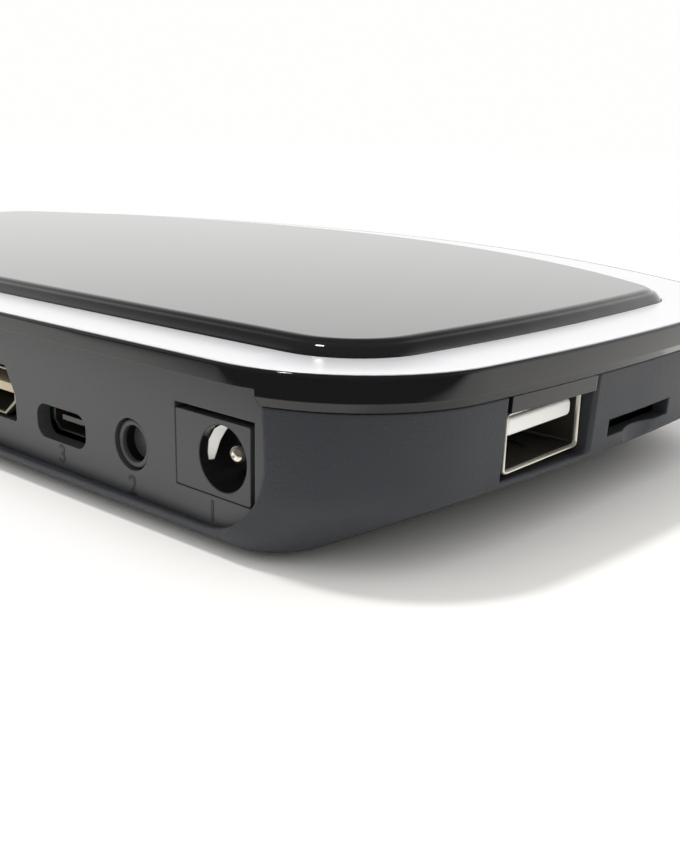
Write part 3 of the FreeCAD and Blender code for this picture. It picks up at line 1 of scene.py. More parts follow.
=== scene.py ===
"""Looks for a streaming box: the studio, the finishes, and the fine pieces round its solids.

The row frame is in metres, +Z up, with the socket plate towards +Y and the side socket and the card
slot towards -X. Sizes below are written in millimetres and turned into metres by MM.
"""
from __future__ import annotations

import json
import logging
import math
import random
from dataclasses import dataclass, field
from enum import Enum
from typing import Iterable, Optional, Sequence

import bmesh
import bpy
from mathutils import Matrix, Vector

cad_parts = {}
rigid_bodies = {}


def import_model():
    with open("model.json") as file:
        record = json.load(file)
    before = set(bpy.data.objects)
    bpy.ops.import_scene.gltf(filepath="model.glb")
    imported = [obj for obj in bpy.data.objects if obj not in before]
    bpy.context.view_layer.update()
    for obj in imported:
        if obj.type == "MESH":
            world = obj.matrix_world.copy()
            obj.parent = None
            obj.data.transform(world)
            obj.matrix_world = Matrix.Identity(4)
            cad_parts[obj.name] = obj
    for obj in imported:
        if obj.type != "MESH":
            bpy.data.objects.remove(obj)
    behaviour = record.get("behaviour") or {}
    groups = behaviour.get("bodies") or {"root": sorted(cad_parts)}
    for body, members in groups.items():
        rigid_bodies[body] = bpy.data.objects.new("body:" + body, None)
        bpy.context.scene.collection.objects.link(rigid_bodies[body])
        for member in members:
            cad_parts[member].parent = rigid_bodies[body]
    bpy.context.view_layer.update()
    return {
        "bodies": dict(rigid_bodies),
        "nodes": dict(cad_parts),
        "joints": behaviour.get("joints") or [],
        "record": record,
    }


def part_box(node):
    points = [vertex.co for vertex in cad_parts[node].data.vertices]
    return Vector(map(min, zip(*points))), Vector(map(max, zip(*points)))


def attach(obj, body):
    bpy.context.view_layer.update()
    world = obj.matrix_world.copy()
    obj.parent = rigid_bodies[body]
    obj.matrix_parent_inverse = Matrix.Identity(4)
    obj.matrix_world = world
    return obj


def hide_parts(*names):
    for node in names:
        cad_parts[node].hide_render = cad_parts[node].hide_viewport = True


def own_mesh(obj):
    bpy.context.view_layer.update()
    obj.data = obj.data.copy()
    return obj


log = logging.getLogger("streaming_box")

MM = 0.001
CRISP_ANGLE = 28.0
SOCKET_KINDS = {"Color": "NodeSocketColor", "Normal": "NodeSocketVector"}
PLAIN_SOCKET = "NodeSocketFloat"

Color = tuple[float, float, float]
Spot = tuple[float, float]
Outline = list[Spot]
Loop = list[Vector]
Piece = bpy.types.Object
Socket = bpy.types.NodeSocket
Tree = bpy.types.NodeTree


class Side(Enum):
    """The side of the box that a socket opens to."""

    LEFT = "left"
    REAR = "rear"


# Shader nodes, and the groups that several finishes share


def place_node(tree: Tree, kind: str, inputs: Optional[dict] = None,
               **settings: object) -> bpy.types.Node:
    """Add a shader node, set it up and feed its inputs.

    Args:
        tree: The tree that the node goes into.
        kind: The node's kind.
        inputs: A socket or a plain value for each input, by the input's name or place.
        settings: The node's own settings.

    Returns:
        The node.
    """
    node = tree.nodes.new("ShaderNode" + kind)
    for name, value in settings.items():
        setattr(node, name, value)
    for place, value in (inputs or {}).items():
        if isinstance(value, bpy.types.NodeSocket):
            tree.links.new(value, node.inputs[place])
        else:
            node.inputs[place].default_value = value
    return node


def calculate(tree: Tree, operation: str, *values: object, clamp: bool = False) -> Socket:
    """Add a math node.

    Args:
        tree: The tree that the node goes into.
        operation: The node's operation.
        values: A socket or a number for each of its inputs.
        clamp: Keep the result from 0 to 1.

    Returns:
        The result.
    """
    return place_node(tree, "Math", dict(enumerate(values)), operation=operation,
                      use_clamp=clamp).outputs[0]


class Effects:
    """The shader node groups that the finishes place with values of their own."""

    def __init__(self) -> None:
        """Build each group once."""
        self.grain = self._grain()
        self.drift = self._drift()
        self.scuffs = self._scuffs()
        self.flakes = self._flakes()
        self.edges = self._edges()

    @staticmethod
    def _start(name: str, inputs: dict[str, object]) -> tuple[Tree, bpy.types.bpy_prop_collection]:
        """Start a shader group with named inputs.

        Args:
            name: The group's name.
            inputs: Each input's name and starting value.

        Returns:
            The group's tree, and the sockets that give its inputs by name.
        """
        tree = bpy.data.node_groups.new(name, "ShaderNodeTree")
        for title, value in inputs.items():
            kind = SOCKET_KINDS.get(title, PLAIN_SOCKET)
            tree.interface.new_socket(title, in_out="INPUT", socket_type=kind).default_value = value
        return tree, tree.nodes.new("NodeGroupInput").outputs

    @staticmethod
    def _hand_out(tree: Tree, results: dict[str, Socket]) -> Tree:
        """Give a group its named outputs.

        Args:
            tree: The group's tree.
            results: Each output's name and what feeds it.

        Returns:
            The finished tree.
        """
        for title in results:
            kind = SOCKET_KINDS.get(title, PLAIN_SOCKET)
            tree.interface.new_socket(title, in_out="OUTPUT", socket_type=kind)
        end = tree.nodes.new("NodeGroupOutput")
        for title, socket in results.items():
            tree.links.new(socket, end.inputs[title])
        return tree

    @staticmethod
    def _points(tree: Tree, size: Socket) -> Socket:
        """Divide the object's own coordinates by a size, so that one unit is one grain.

        Args:
            tree: The tree that the nodes go into.
            size: The socket that gives the size in millimetres.

        Returns:
            The scaled coordinates.
        """
        place = place_node(tree, "TexCoord").outputs["Object"]
        scale = calculate(tree, "DIVIDE", 1.0 / MM, size)
        return place_node(tree, "VectorMath", {0: place, "Scale": scale}, operation="SCALE").outputs[0]

    def _grain(self) -> Tree:
        """Build the moulded texture: rounded grains with finer ones between them.

        Returns:
            The group.
        """
        tree, given = self._start("Moulded grain", {"Size": 0.3, "Fine": 0.4})
        points = self._points(tree, given["Size"])
        cells = place_node(tree, "TexVoronoi", {"Vector": points, "Scale": 1.0, "Smoothness": 0.6},
                           feature="SMOOTH_F1")
        noise = place_node(tree, "TexNoise", {"Vector": points, "Scale": 1.7, "Detail": 3.0}).outputs[0]
        mounds = calculate(tree, "SUBTRACT", 1.0, cells.outputs["Distance"])
        fine = calculate(tree, "MULTIPLY", noise, given["Fine"])
        return self._hand_out(tree, {"Height": calculate(tree, "ADD", mounds, fine), "Mask": noise})

    def _drift(self) -> Tree:
        """Build the slow change of a colour over a surface.

        Returns:
            The group.
        """
        tree, given = self._start("Colour drift", {"Color": (0.5, 0.5, 0.5, 1.0), "Size": 12.0,
                                                   "Amount": 0.1})
        points = self._points(tree, given["Size"])
        noise = place_node(tree, "TexNoise", {"Vector": points, "Scale": 1.0, "Detail": 4.0}).outputs[0]
        centred = calculate(tree, "SUBTRACT", noise, 0.5)
        swing = calculate(tree, "MULTIPLY", centred, given["Amount"])
        factor = calculate(tree, "MULTIPLY_ADD", swing, 2.0, 1.0)
        shade = place_node(tree, "VectorMath", {0: given["Color"], "Scale": factor}, operation="SCALE")
        return self._hand_out(tree, {"Color": shade.outputs[0], "Mask": noise})

    def _scuffs(self) -> Tree:
        """Build fine hairline scuffs and specks of dust.

        Returns:
            The group.
        """
        tree, given = self._start("Scuffs and dust", {"Size": 6.0, "Scuffs": 0.3, "Dust": 0.2})
        points = self._points(tree, given["Size"])
        stretch = place_node(tree, "Mapping", {"Vector": points, "Scale": (1.0, 24.0, 24.0),
                                               "Rotation": (0.0, 0.0, math.radians(35))})
        lines = place_node(tree, "TexNoise", {"Vector": stretch.outputs[0], "Scale": 1.0,
                                              "Detail": 5.0})
        thin = place_node(tree, "MapRange", {"Value": lines.outputs[0], "From Min": 0.62,
                                             "From Max": 0.72})
        specks = place_node(tree, "TexVoronoi", {"Vector": points, "Scale": 5.0})
        spot = place_node(tree, "MapRange", {"Value": specks.outputs["Distance"], "From Min": 0.10,
                                             "From Max": 0.06})
        return self._hand_out(tree, {
            "Scuff": calculate(tree, "MULTIPLY", thin.outputs[0], given["Scuffs"]),
            "Dust": calculate(tree, "MULTIPLY", spot.outputs[0], given["Dust"])})

    def _flakes(self) -> Tree:
        """Build the fine metal flakes of a silver paint.

        Returns:
            The group.
        """
        tree, given = self._start("Metal flakes", {"Size": 0.12, "Amount": 0.2})
        points = self._points(tree, given["Size"])
        cells = place_node(tree, "TexVoronoi", {"Vector": points, "Scale": 1.0})
        split = place_node(tree, "SeparateColor", {0: cells.outputs["Color"]})
        centred = calculate(tree, "SUBTRACT", split.outputs[0], 0.5)
        return self._hand_out(tree, {"Value": calculate(tree, "MULTIPLY", centred, given["Amount"])})

    def _edges(self) -> Tree:
        """Build a soft rounding of sharp edges and the mask of where they are.

        Returns:
            The group.
        """
        tree, given = self._start("Worn edges", {"Amount": 0.3, "Radius": 0.12})
        radius = calculate(tree, "MULTIPLY", given["Radius"], MM)
        rounded = place_node(tree, "Bevel", {"Radius": radius}, samples=8).outputs[0]
        plain = place_node(tree, "NewGeometry").outputs["Normal"]
        dot = place_node(tree, "VectorMath", {0: rounded, 1: plain}, operation="DOT_PRODUCT")
        turn = calculate(tree, "SUBTRACT", 1.0, dot.outputs["Value"])
        strong = calculate(tree, "MULTIPLY", turn, 6.0, clamp=True)
        return self._hand_out(tree, {"Normal": rounded,
                                     "Mask": calculate(tree, "MULTIPLY", strong, given["Amount"])})


@dataclass(frozen=True)
class Finish:
    """One finish of the box, from its plain values to a procedural material.

    Sizes are in millimetres. A grain height of nothing leaves the surface smooth.
    """

    name: str
    color: Color
    roughness: float
    metallic: float = 0.0
    specular: float = 0.5
    ior: float = 1.5
    coat: float = 0.0
    coat_roughness: float = 0.03
    drift: float = 0.08
    drift_size: float = 9.0
    grain_size: float = 0.3
    grain_height: float = 0.0
    grain_fine: float = 0.4
    scuffs: float = 0.0
    dust: float = 0.0
    flakes: float = 0.0
    wear: float = 0.0
    edge: float = 0.12
    transmission: float = 0.0

    def material(self, effects: Effects) -> bpy.types.Material:
        """Make the material.

        Args:
            effects: The shared node groups.

        Returns:
            The finished material.
        """
        made = bpy.data.materials.new(self.name)
        made.use_nodes = True
        tree = made.node_tree
        shader = tree.nodes["Principled BSDF"]
        plain = {
            "Metallic": self.metallic, "Specular IOR Level": self.specular, "IOR": self.ior,
            "Coat Weight": self.coat, "Coat Roughness": self.coat_roughness,
            "Transmission Weight": self.transmission,
        }
        for name, value in plain.items():
            shader.inputs[name].default_value = value
        drift = place_node(tree, "Group", {"Color": (*self.color, 1.0), "Size": self.drift_size,
                                           "Amount": self.drift}, node_tree=effects.drift)
        color = drift.outputs["Color"]
        rough = self._roughness(tree, drift.outputs["Mask"])
        edges = place_node(tree, "Group", {"Amount": self.wear, "Radius": self.edge},
                           node_tree=effects.edges)
        if self.flakes:
            glint = place_node(tree, "Group", {"Amount": self.flakes},
                               node_tree=effects.flakes).outputs["Value"]
            color = self._lighter(tree, color, glint, (1.0, 1.0, 1.0))
            rough = calculate(tree, "ADD", rough, glint, clamp=True)
        if self.wear:
            worn = tuple(min(1.0, part * 2.2 + 0.03) for part in self.color)
            color = self._lighter(tree, color, edges.outputs["Mask"], worn)
        if self.scuffs or self.dust:
            marks = place_node(tree, "Group", {"Scuffs": self.scuffs, "Dust": self.dust},
                               node_tree=effects.scuffs).outputs
            rough = calculate(tree, "ADD", rough, marks["Scuff"], clamp=True)
            rough = calculate(tree, "ADD", rough, marks["Dust"], clamp=True)
            color = self._lighter(tree, color, marks["Dust"], (0.6, 0.58, 0.55))
        tree.links.new(color, shader.inputs["Base Color"])
        tree.links.new(rough, shader.inputs["Roughness"])
        normal = edges.outputs["Normal"]
        if self.grain_height:
            grain = place_node(tree, "Group", {"Size": self.grain_size, "Fine": self.grain_fine},
                               node_tree=effects.grain)
            normal = place_node(tree, "Bump", {"Strength": 1.0, "Distance": self.grain_height * MM,
                                               "Height": grain.outputs["Height"],
                                               "Normal": normal}).outputs[0]
        tree.links.new(normal, shader.inputs["Normal"])
        return made

    def _roughness(self, tree: Tree, mask: Socket) -> Socket:
        """Let the roughness wander a little about its plain value.

        Args:
            tree: The material's tree.
            mask: A value from 0 to 1 that changes slowly over the surface.

        Returns:
            The roughness.
        """
        return place_node(tree, "MapRange", {
            "Value": mask, "To Min": self.roughness * 0.85,
            "To Max": min(1.0, self.roughness * 1.15)}).outputs[0]

    @staticmethod
    def _lighter(tree: Tree, color: Socket, mask: Socket, towards: Color) -> Socket:
        """Mix a colour towards another by a mask.

        Args:
            tree: The material's tree.
            color: The colour so far.
            mask: How much of the other colour shows.
            towards: The other colour.

        Returns:
            The mixed colour.
        """
        return place_node(tree, "Mix", {"Factor": mask, 6: color, 7: (*towards, 1.0)},
                          data_type="RGBA").outputs[2]


FINISHES = (
    Finish("case", (0.034, 0.037, 0.044), 0.50, specular=0.32, grain_size=0.22, grain_height=0.030,
           wear=0.25, edge=0.35, drift=0.10, dust=0.02),
    Finish("cover", (0.008, 0.008, 0.009), 0.05, scuffs=0.04),
    Finish("trim", (0.80, 0.80, 0.83), 0.32, metallic=0.30, flakes=0.03, drift=0.02, coat=0.35,
           coat_roughness=0.15),
    Finish("panel", (0.008, 0.008, 0.009), 0.045, coat=0.35, coat_roughness=0.015, scuffs=0.05),
    Finish("plate", (0.056, 0.058, 0.062), 0.40, grain_size=0.5, grain_height=0.008, wear=0.25,
           edge=0.15),
    Finish("window", (0.030, 0.012, 0.016), 0.08, coat=0.6),
    Finish("foot_rubber", (0.040, 0.040, 0.042), 0.85, grain_size=0.2, grain_height=0.02, dust=0.3),
    Finish("screw_steel", (0.35, 0.35, 0.37), 0.35, metallic=1.0, scuffs=0.2, wear=0.3),
    Finish("board", (0.020, 0.130, 0.070), 0.30, coat=0.4, drift=0.2, drift_size=3.0),
    Finish("nickel", (0.88, 0.84, 0.74), 0.32, metallic=0.85, scuffs=0.10, wear=0.2),
    # Partly painted shade: the nickel darkened part way for the picture socket's frame.
    Finish("dull_nickel", (0.34, 0.32, 0.27), 0.35, metallic=0.9, scuffs=0.2, wear=0.2),
    # Painted shade: the nickel darkened for the shaded insides of the sockets.
    Finish("shaded_nickel", (0.08, 0.077, 0.064), 0.42, metallic=0.8, scuffs=0.2),
    Finish("white_plastic", (0.90, 0.90, 0.88), 0.42, drift=0.03),
    Finish("gold_contact", (0.83, 0.63, 0.27), 0.22, metallic=1.0),
    # Painted shade: a near-black with weak reflection that darkens the sound jack's bore.
    Finish("bore_black", (0.006, 0.006, 0.006), 0.6, specular=0.15, drift=0.05),
    Finish("jack_black", (0.012, 0.012, 0.013), 0.14, coat=0.2, scuffs=0.05),
    Finish("pin_metal", (0.86, 0.80, 0.68), 0.16, metallic=1.0, scuffs=0.1),
    # Painted reflection: a near-white, weakly metallic colour for the leaf in the barrel jack's bore.
    Finish("bright_leaf", (0.95, 0.95, 0.93), 0.45, metallic=0.35),
    Finish("tan_plastic", (0.62, 0.52, 0.37), 0.45, wear=0.2),
    Finish("spring_steel", (0.60, 0.60, 0.62), 0.25, metallic=1.0),
    Finish("button_grey", (0.30, 0.30, 0.31), 0.5, wear=0.2),
    Finish("chip", (0.035, 0.036, 0.040), 0.55, grain_size=0.2, grain_height=0.02),
    Finish("pad_grey", (0.42, 0.45, 0.48), 0.8),
    Finish("sink", (0.62, 0.63, 0.65), 0.3, metallic=1.0, scuffs=0.3),
    Finish("can_metal", (0.70, 0.70, 0.72), 0.25, metallic=1.0, scuffs=0.1),
    Finish("coil_grey", (0.16, 0.16, 0.17), 0.7, grain_size=0.2, grain_height=0.03),
    Finish("aerial_copper", (0.72, 0.45, 0.28), 0.3, metallic=1.0, coat=0.6),
    Finish("lead_black", (0.030, 0.030, 0.030), 0.5),
    Finish("lamp", (0.35, 0.50, 0.95), 0.1, transmission=0.7),
)


# Mesh tools


@dataclass(frozen=True)
class Mouth:
    """The mouth of a socket: its middle, and the directions across it, up and inwards."""

    middle: Vector
    across: Vector
    up: Vector
    inward: Vector

    def at(self, u: float, v: float, depth: float) -> Vector:
        """Give the point at a distance across, up and inwards, in millimetres."""
        return self.middle + (self.across * u + self.up * v + self.inward * depth) * MM

    def loop(self, outline: Iterable[Spot], depth: float) -> Loop:
        """Stand an outline of points across and up at one depth."""
        return [self.at(u, v, depth) for u, v in outline]


def mouth_of(node: str, side: Side) -> Mouth:
    """Find a socket's mouth from its solid's box.

    Args:
        node: The solid's name.
        side: The side that the socket opens to.

    Returns:
        The mouth.
    """
    low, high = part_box(node)
    middle = (low + high) / 2
    if side is Side.LEFT:
        middle.x = low.x
        return Mouth(middle, Vector((0, 1, 0)), Vector((0, 0, 1)), Vector((1, 0, 0)))
    middle.y = high.y
    return Mouth(middle, Vector((1, 0, 0)), Vector((0, 0, 1)), Vector((0, -1, 0)))


def rounded_outline(width: float, height: float, radius: float, steps: int = 5,
                    centre: Spot = (0.0, 0.0)) -> Outline:
    """Draw a rectangle with round corners, anticlockwise.

    Args:
        width: The whole width.
        height: The whole height.
        radius: The corners' radius.
        steps: The number of steps in each corner.
        centre: Where the rectangle's middle is.

    Returns:
        The outline's points.
    """
    points = []
    for turn, (sign_x, sign_y) in enumerate(((1, 1), (-1, 1), (-1, -1), (1, -1))):
        corner_x = centre[0] + sign_x * (width / 2 - radius)
        corner_y = centre[1] + sign_y * (height / 2 - radius)
        for step in range(steps + 1):
            angle = math.pi / 2 * (turn + step / steps)
            points.append((corner_x + radius * math.cos(angle), corner_y + radius * math.sin(angle)))
    return points


def circle_outline(radius: float, steps: int) -> Outline:
    """Draw a circle, anticlockwise.

    Args:
        radius: Its radius.
        steps: The number of its points.

    Returns:
        The outline's points.
    """
    turns = [2 * math.pi * step / steps for step in range(steps)]
    return [(radius * math.cos(turn), radius * math.sin(turn)) for turn in turns]


def ring_round(outline: Outline) -> Outline:
    """Start an outline at its rightmost point, so that it lines up with a circle."""
    first = max(range(len(outline)), key=lambda place: (outline[place][0], outline[place][1]))
    return outline[first:] + outline[:first]


def linked(name: str, data: bpy.types.ID) -> Piece:
    """Make an object of a mesh, text, lamp or camera, and link it to the scene."""
    made = bpy.data.objects.new(name, data)
    bpy.context.scene.collection.objects.link(made)
    return made


def settled(name: str, work: bmesh.types.BMesh) -> Piece:
    """Turn worked faces into a new piece.

    Args:
        name: The new piece's name.
        work: The faces, which are used up.

    Returns:
        The new piece, linked to the scene.
    """
    mesh = bpy.data.meshes.new(name)
    work.to_mesh(mesh)
    work.free()
    return linked(name, mesh)


def skin(name: str, loops: Sequence[Loop]) -> Piece:
    """Stretch a skin over closed loops that have equally many points, and close both ends.

    Args:
        name: The new piece's name.
        loops: The loops from the first end to the last.

    Returns:
        The new piece, linked to the scene.
    """
    work = bmesh.new()
    rows = [[work.verts.new(point) for point in loop] for loop in loops]
    for first, second in zip(rows, rows[1:]):
        for place in range(len(first)):
            ahead = (place + 1) % len(first)
            work.faces.new((first[place], first[ahead], second[ahead], second[place]))
    work.faces.new(list(reversed(rows[0])))
    work.faces.new(rows[-1])
    bmesh.ops.recalc_face_normals(work, faces=work.faces)
    return settled(name, work)


def joined(name: str, pieces: Sequence[Piece]) -> Piece:
    """Join loose pieces into one object.

    Args:
        name: The joined piece's name.
        pieces: The pieces, which are used up.

    Returns:
        The joined piece.
    """
    work = bmesh.new()
    for piece in pieces:
        work.from_mesh(piece.data)
    for piece in pieces:
        bpy.data.objects.remove(piece)
    return settled(name, work)


def modify(piece: Piece, name: str, kind: str, **settings: object) -> None:
    """Add a modifier to a piece and set it up."""
    added = piece.modifiers.new(name, kind)
    for setting, value in settings.items():
        setattr(added, setting, value)


def soften(piece: Piece, width: float, steps: int = 2, angle: float = 35.0) -> None:
    """Round a piece's sharp edges and shade it smooth.

    Args:
        piece: The piece.
        width: The rounding's width in millimetres, or nothing for smooth shading alone.
        steps: The rounding's steps.
        angle: The least turn between faces that counts as an edge, in degrees.
    """
    if width:
        modify(piece, "Round edges", "BEVEL", width=width * MM, segments=steps, limit_method="ANGLE",
               angle_limit=math.radians(angle), harden_normals=False)
    piece.data.shade_smooth()
    modify(piece, "Even shading", "WEIGHTED_NORMAL", keep_sharp=True)


def smooth_solid(solid: Piece, rounding: float = 0.0, steps: int = 5) -> None:
    """Shade a solid of the frame smooth across its curved faces and crisp or round at its edges.

    Args:
        solid: The solid. Its own points stay as they are.
        rounding: The width of the round edges in millimetres, or nothing for crisp ones.
        steps: The steps of the round edges.
    """
    angle = math.radians(CRISP_ANGLE)
    modify(solid, "Weld seams", "WELD", merge_threshold=0.0005 * MM)
    if rounding:
        modify(solid, "Join flat faces", "DECIMATE", decimate_type="DISSOLVE",
               angle_limit=math.radians(0.6))
        modify(solid, "Round edges", "BEVEL", width=rounding * MM, segments=steps,
               limit_method="ANGLE", angle_limit=angle)
        solid.data.shade_smooth()
        modify(solid, "Even shading", "WEIGHTED_NORMAL", keep_sharp=True)
        return
    modify(solid, "Crisp edges", "EDGE_SPLIT", split_angle=angle)
    solid.data.shade_smooth()


# The studio


@dataclass
class Studio:
    """The camera, the lamps, the floor and the surroundings."""

    camera_place: tuple[float, float, float] = (-123.13, 103.95, 37.26)
    camera_turn: tuple[float, float, float] = (73.282, -1.2456, -138.401)
    focal_length: float = 44.43
    sideways_shift: float = -0.0003
    upward_shift: float = 0.0188
    sun_direction: tuple[float, float, float] = (0.33, 0.17, 1.0)
    sun_strength: float = 1.28
    sun_width: float = 6.0
    dark_heading: tuple[float, float, float] = (-0.50, 0.866, 0.0)
    horizon_light: float = 0.44
    overhead_light: float = 1.22
    floor_half: float = 1500.0
    fade_round: Spot = (110.0, 200.0)
    fade_behind: Spot = (42.0, 62.0)
    fade_mirrored: Spot = (75.0, 105.0)

    def build(self) -> None:
        """Make the whole studio."""
        self._camera()
        self._sun()
        self._world()
        self._floor()
        bpy.context.scene.view_settings.view_transform = "Standard"
        log.info("studio built")

    def _camera(self) -> None:
        """Stand the camera where the photograph was taken from."""
        data = bpy.data.cameras.new("Camera")
        data.sensor_width = 36.0
        data.lens = self.focal_length
        data.shift_x = self.sideways_shift
        data.shift_y = self.upward_shift
        data.clip_start = 1.0 * MM
        data.clip_end = 100.0
        camera = linked("Camera", data)
        camera.location = Vector(self.camera_place) * MM
        camera.rotation_euler = [math.radians(turn) for turn in self.camera_turn]
        bpy.context.scene.camera = camera

    def _sun(self) -> None:
        """Hang the main lamp high over the box, a little towards its right and its sockets."""
        data = bpy.data.lights.new("Key lamp", "SUN")
        data.energy = self.sun_strength
        data.angle = math.radians(self.sun_width)
        data.color = (1.0, 0.985, 0.96)
        lamp = linked("Key lamp", data)
        lamp.rotation_euler = Vector(self.sun_direction).to_track_quat("Z", "Y").to_euler()

    @staticmethod
    def _eased(tree: Tree, value: Socket, low: float, high: float) -> Socket:
        """Ease a value from 0 at a low mark to 1 at a high one.

        Args:
            tree: The tree that the node goes into.
            value: The value.
            low: The mark that gives 0.
            high: The mark that gives 1.

        Returns:
            The eased value.
        """
        return place_node(tree, "MapRange", {"Value": value, "From Min": low, "From Max": high},
                          interpolation_type="SMOOTHSTEP").outputs[0]

    def _facing(self, tree: Tree, vector: Socket, heading: Vector, low: float,
                high: float) -> Socket:
        """Measure how far a direction or place lies along a heading, from 0 to 1.

        Args:
            tree: The tree that the nodes go into.
            vector: The direction or place.
            heading: The heading.
            low: The distance that gives 0.
            high: The distance that gives 1.

        Returns:
            The eased value.
        """
        dot = place_node(tree, "VectorMath", {0: vector, 1: heading}, operation="DOT_PRODUCT")
        return self._eased(tree, dot.outputs["Value"], low, high)

    def _world(self) -> None:
        """Surround the box with soft light, brighter from above, and mirror a dark ceiling in it.

        Glossy rays see a bright ring that is dark overhead and towards the camera, and the camera
        itself sees plain white.
        """
        world = bpy.data.worlds.new("Surroundings")
        bpy.context.scene.world = world
        world.use_nodes = True
        tree = world.node_tree
        tree.nodes.clear()
        upward = Vector((0, 0, 1))
        direction = place_node(tree, "TexCoord").outputs["Generated"]
        dark_side = self._facing(tree, direction, Vector(self.dark_heading), -0.25, 0.30)
        overhead = self._facing(tree, direction, upward, 0.30, 0.75)
        dim = calculate(tree, "MAXIMUM", dark_side, overhead)
        mirrored = place_node(tree, "MapRange", {"Value": dim, "To Min": 1.0, "To Max": 0.12})
        height = self._facing(tree, direction, upward, 0.0, 0.75)
        soft = place_node(tree, "MapRange", {"Value": height, "To Min": self.horizon_light,
                                             "To Max": self.overhead_light})
        rays = place_node(tree, "LightPath").outputs
        choice = place_node(tree, "Mix", {"Factor": rays["Is Glossy Ray"], 2: soft.outputs[0],
                                          3: mirrored.outputs[0]})
        seen = place_node(tree, "Mix", {"Factor": rays["Is Camera Ray"], 2: choice.outputs[0],
                                        3: 1.0})
        light = place_node(tree, "Background", {"Color": (1.0, 0.995, 0.985, 1.0),
                                                "Strength": seen.outputs[0]})
        place_node(tree, "OutputWorld", {0: light.outputs[0]})

    def _floor(self) -> None:
        """Lay the pale floor, which fades into the white background away from the box, and in
        reflections only turns dark towards the camera as a painted dark reflection.
        """
        half = self.floor_half * MM
        mesh = bpy.data.meshes.new("Floor")
        mesh.from_pydata([(-half, -half, 0), (half, -half, 0), (half, half, 0), (-half, half, 0)], [],
                         [(0, 1, 2, 3)])
        floor = linked("Floor", mesh)
        made = bpy.data.materials.new("Pale floor")
        made.use_nodes = True
        tree = made.node_tree
        shader = tree.nodes["Principled BSDF"]
        shader.inputs["Base Color"].default_value = (0.90, 0.892, 0.872, 1.0)
        shader.inputs["Roughness"].default_value = 0.9
        shader.inputs["Specular IOR Level"].default_value = 0.1
        spot = place_node(tree, "NewGeometry").outputs["Position"]
        length = place_node(tree, "VectorMath", {0: spot}, operation="LENGTH").outputs["Value"]
        far = self._eased(tree, length, *(mark * MM for mark in self.fade_round))
        behind = self._facing(tree, spot, Vector((0, 1, 0)), *(mark * MM for mark in self.fade_behind))
        rays = place_node(tree, "LightPath").outputs
        lit = calculate(tree, "MAXIMUM", far, behind)
        seen = calculate(tree, "MULTIPLY", lit, rays["Is Camera Ray"])
        white = place_node(tree, "Emission").outputs[0]
        pale = place_node(tree, "MixShader", {0: seen, 1: shader.outputs[0], 2: white})
        # Painted dark reflection: glossy rays see the floor dark towards the camera.
        near = self._facing(tree, spot, Vector(self.dark_heading),
                            *(mark * MM for mark in self.fade_mirrored))
        mirrored = calculate(tree, "MULTIPLY", near, rays["Is Glossy Ray"])
        dark = place_node(tree, "Emission", {"Strength": 0.05}).outputs[0]
        whole = place_node(tree, "MixShader", {0: mirrored, 1: pale.outputs[0], 2: dark})
        tree.links.new(whole.outputs[0], tree.nodes["Material Output"].inputs["Surface"])
        mesh.materials.append(made)


# The sub-assemblies


@dataclass
class SubAssembly:
    """A group of pieces with its materials."""

    frame: dict
    finishes: dict[str, bpy.types.Material]

    def dress(self, node: str, finish: str, rounding: float = 0.0) -> None:
        """Give a solid of the frame its finish and smooth shading.

        Args:
            node: The solid's name.
            finish: The finish's name.
            rounding: The width of its round edges in millimetres, or nothing for crisp ones.
        """
        solid = self.frame["nodes"][node]
        solid.data.materials.clear()
        solid.data.materials.append(self.finishes[finish])
        smooth_solid(solid, rounding)
        log.info("%s dressed in %s", node, finish)

    def add(self, piece: Piece, finish: str, replaces: Sequence[str] = (),
            slot: Optional[str] = None, rounding: float = 0.0) -> None:
        """Smooth a new piece, give it its finish and set it on the fixed body.

        Args:
            piece: The piece.
            finish: The finish's name.
            replaces: The solids of the frame that it stands for.
            slot: The record's material slot, where it isn't called as the finish is. Not used.
            rounding: The width of its round edges in millimetres, or nothing for none.
        """
        soften(piece, rounding)
        piece.data.materials.clear()
        piece.data.materials.append(self.finishes[finish])
        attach(piece, "root")
        if replaces:
            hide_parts(*replaces)
        log.info("%s made in %s", piece.name, finish)


@dataclass
class Casing(SubAssembly):
    """The lower case, the cover, the silver ledge, the socket plate and the window."""

    window_rounding: float = 0.15
    parts: dict[str, str] = field(default_factory=lambda: {
        "lower_case": "case", "upper_cover": "cover", "silver_trim": "trim", "rear_port_plate": "plate",
    })

    def build(self) -> None:
        """Dress the casing's solids."""
        for node, finish in self.parts.items():
            self.dress(node, finish)
        self.dress("front_window", "window", self.window_rounding)


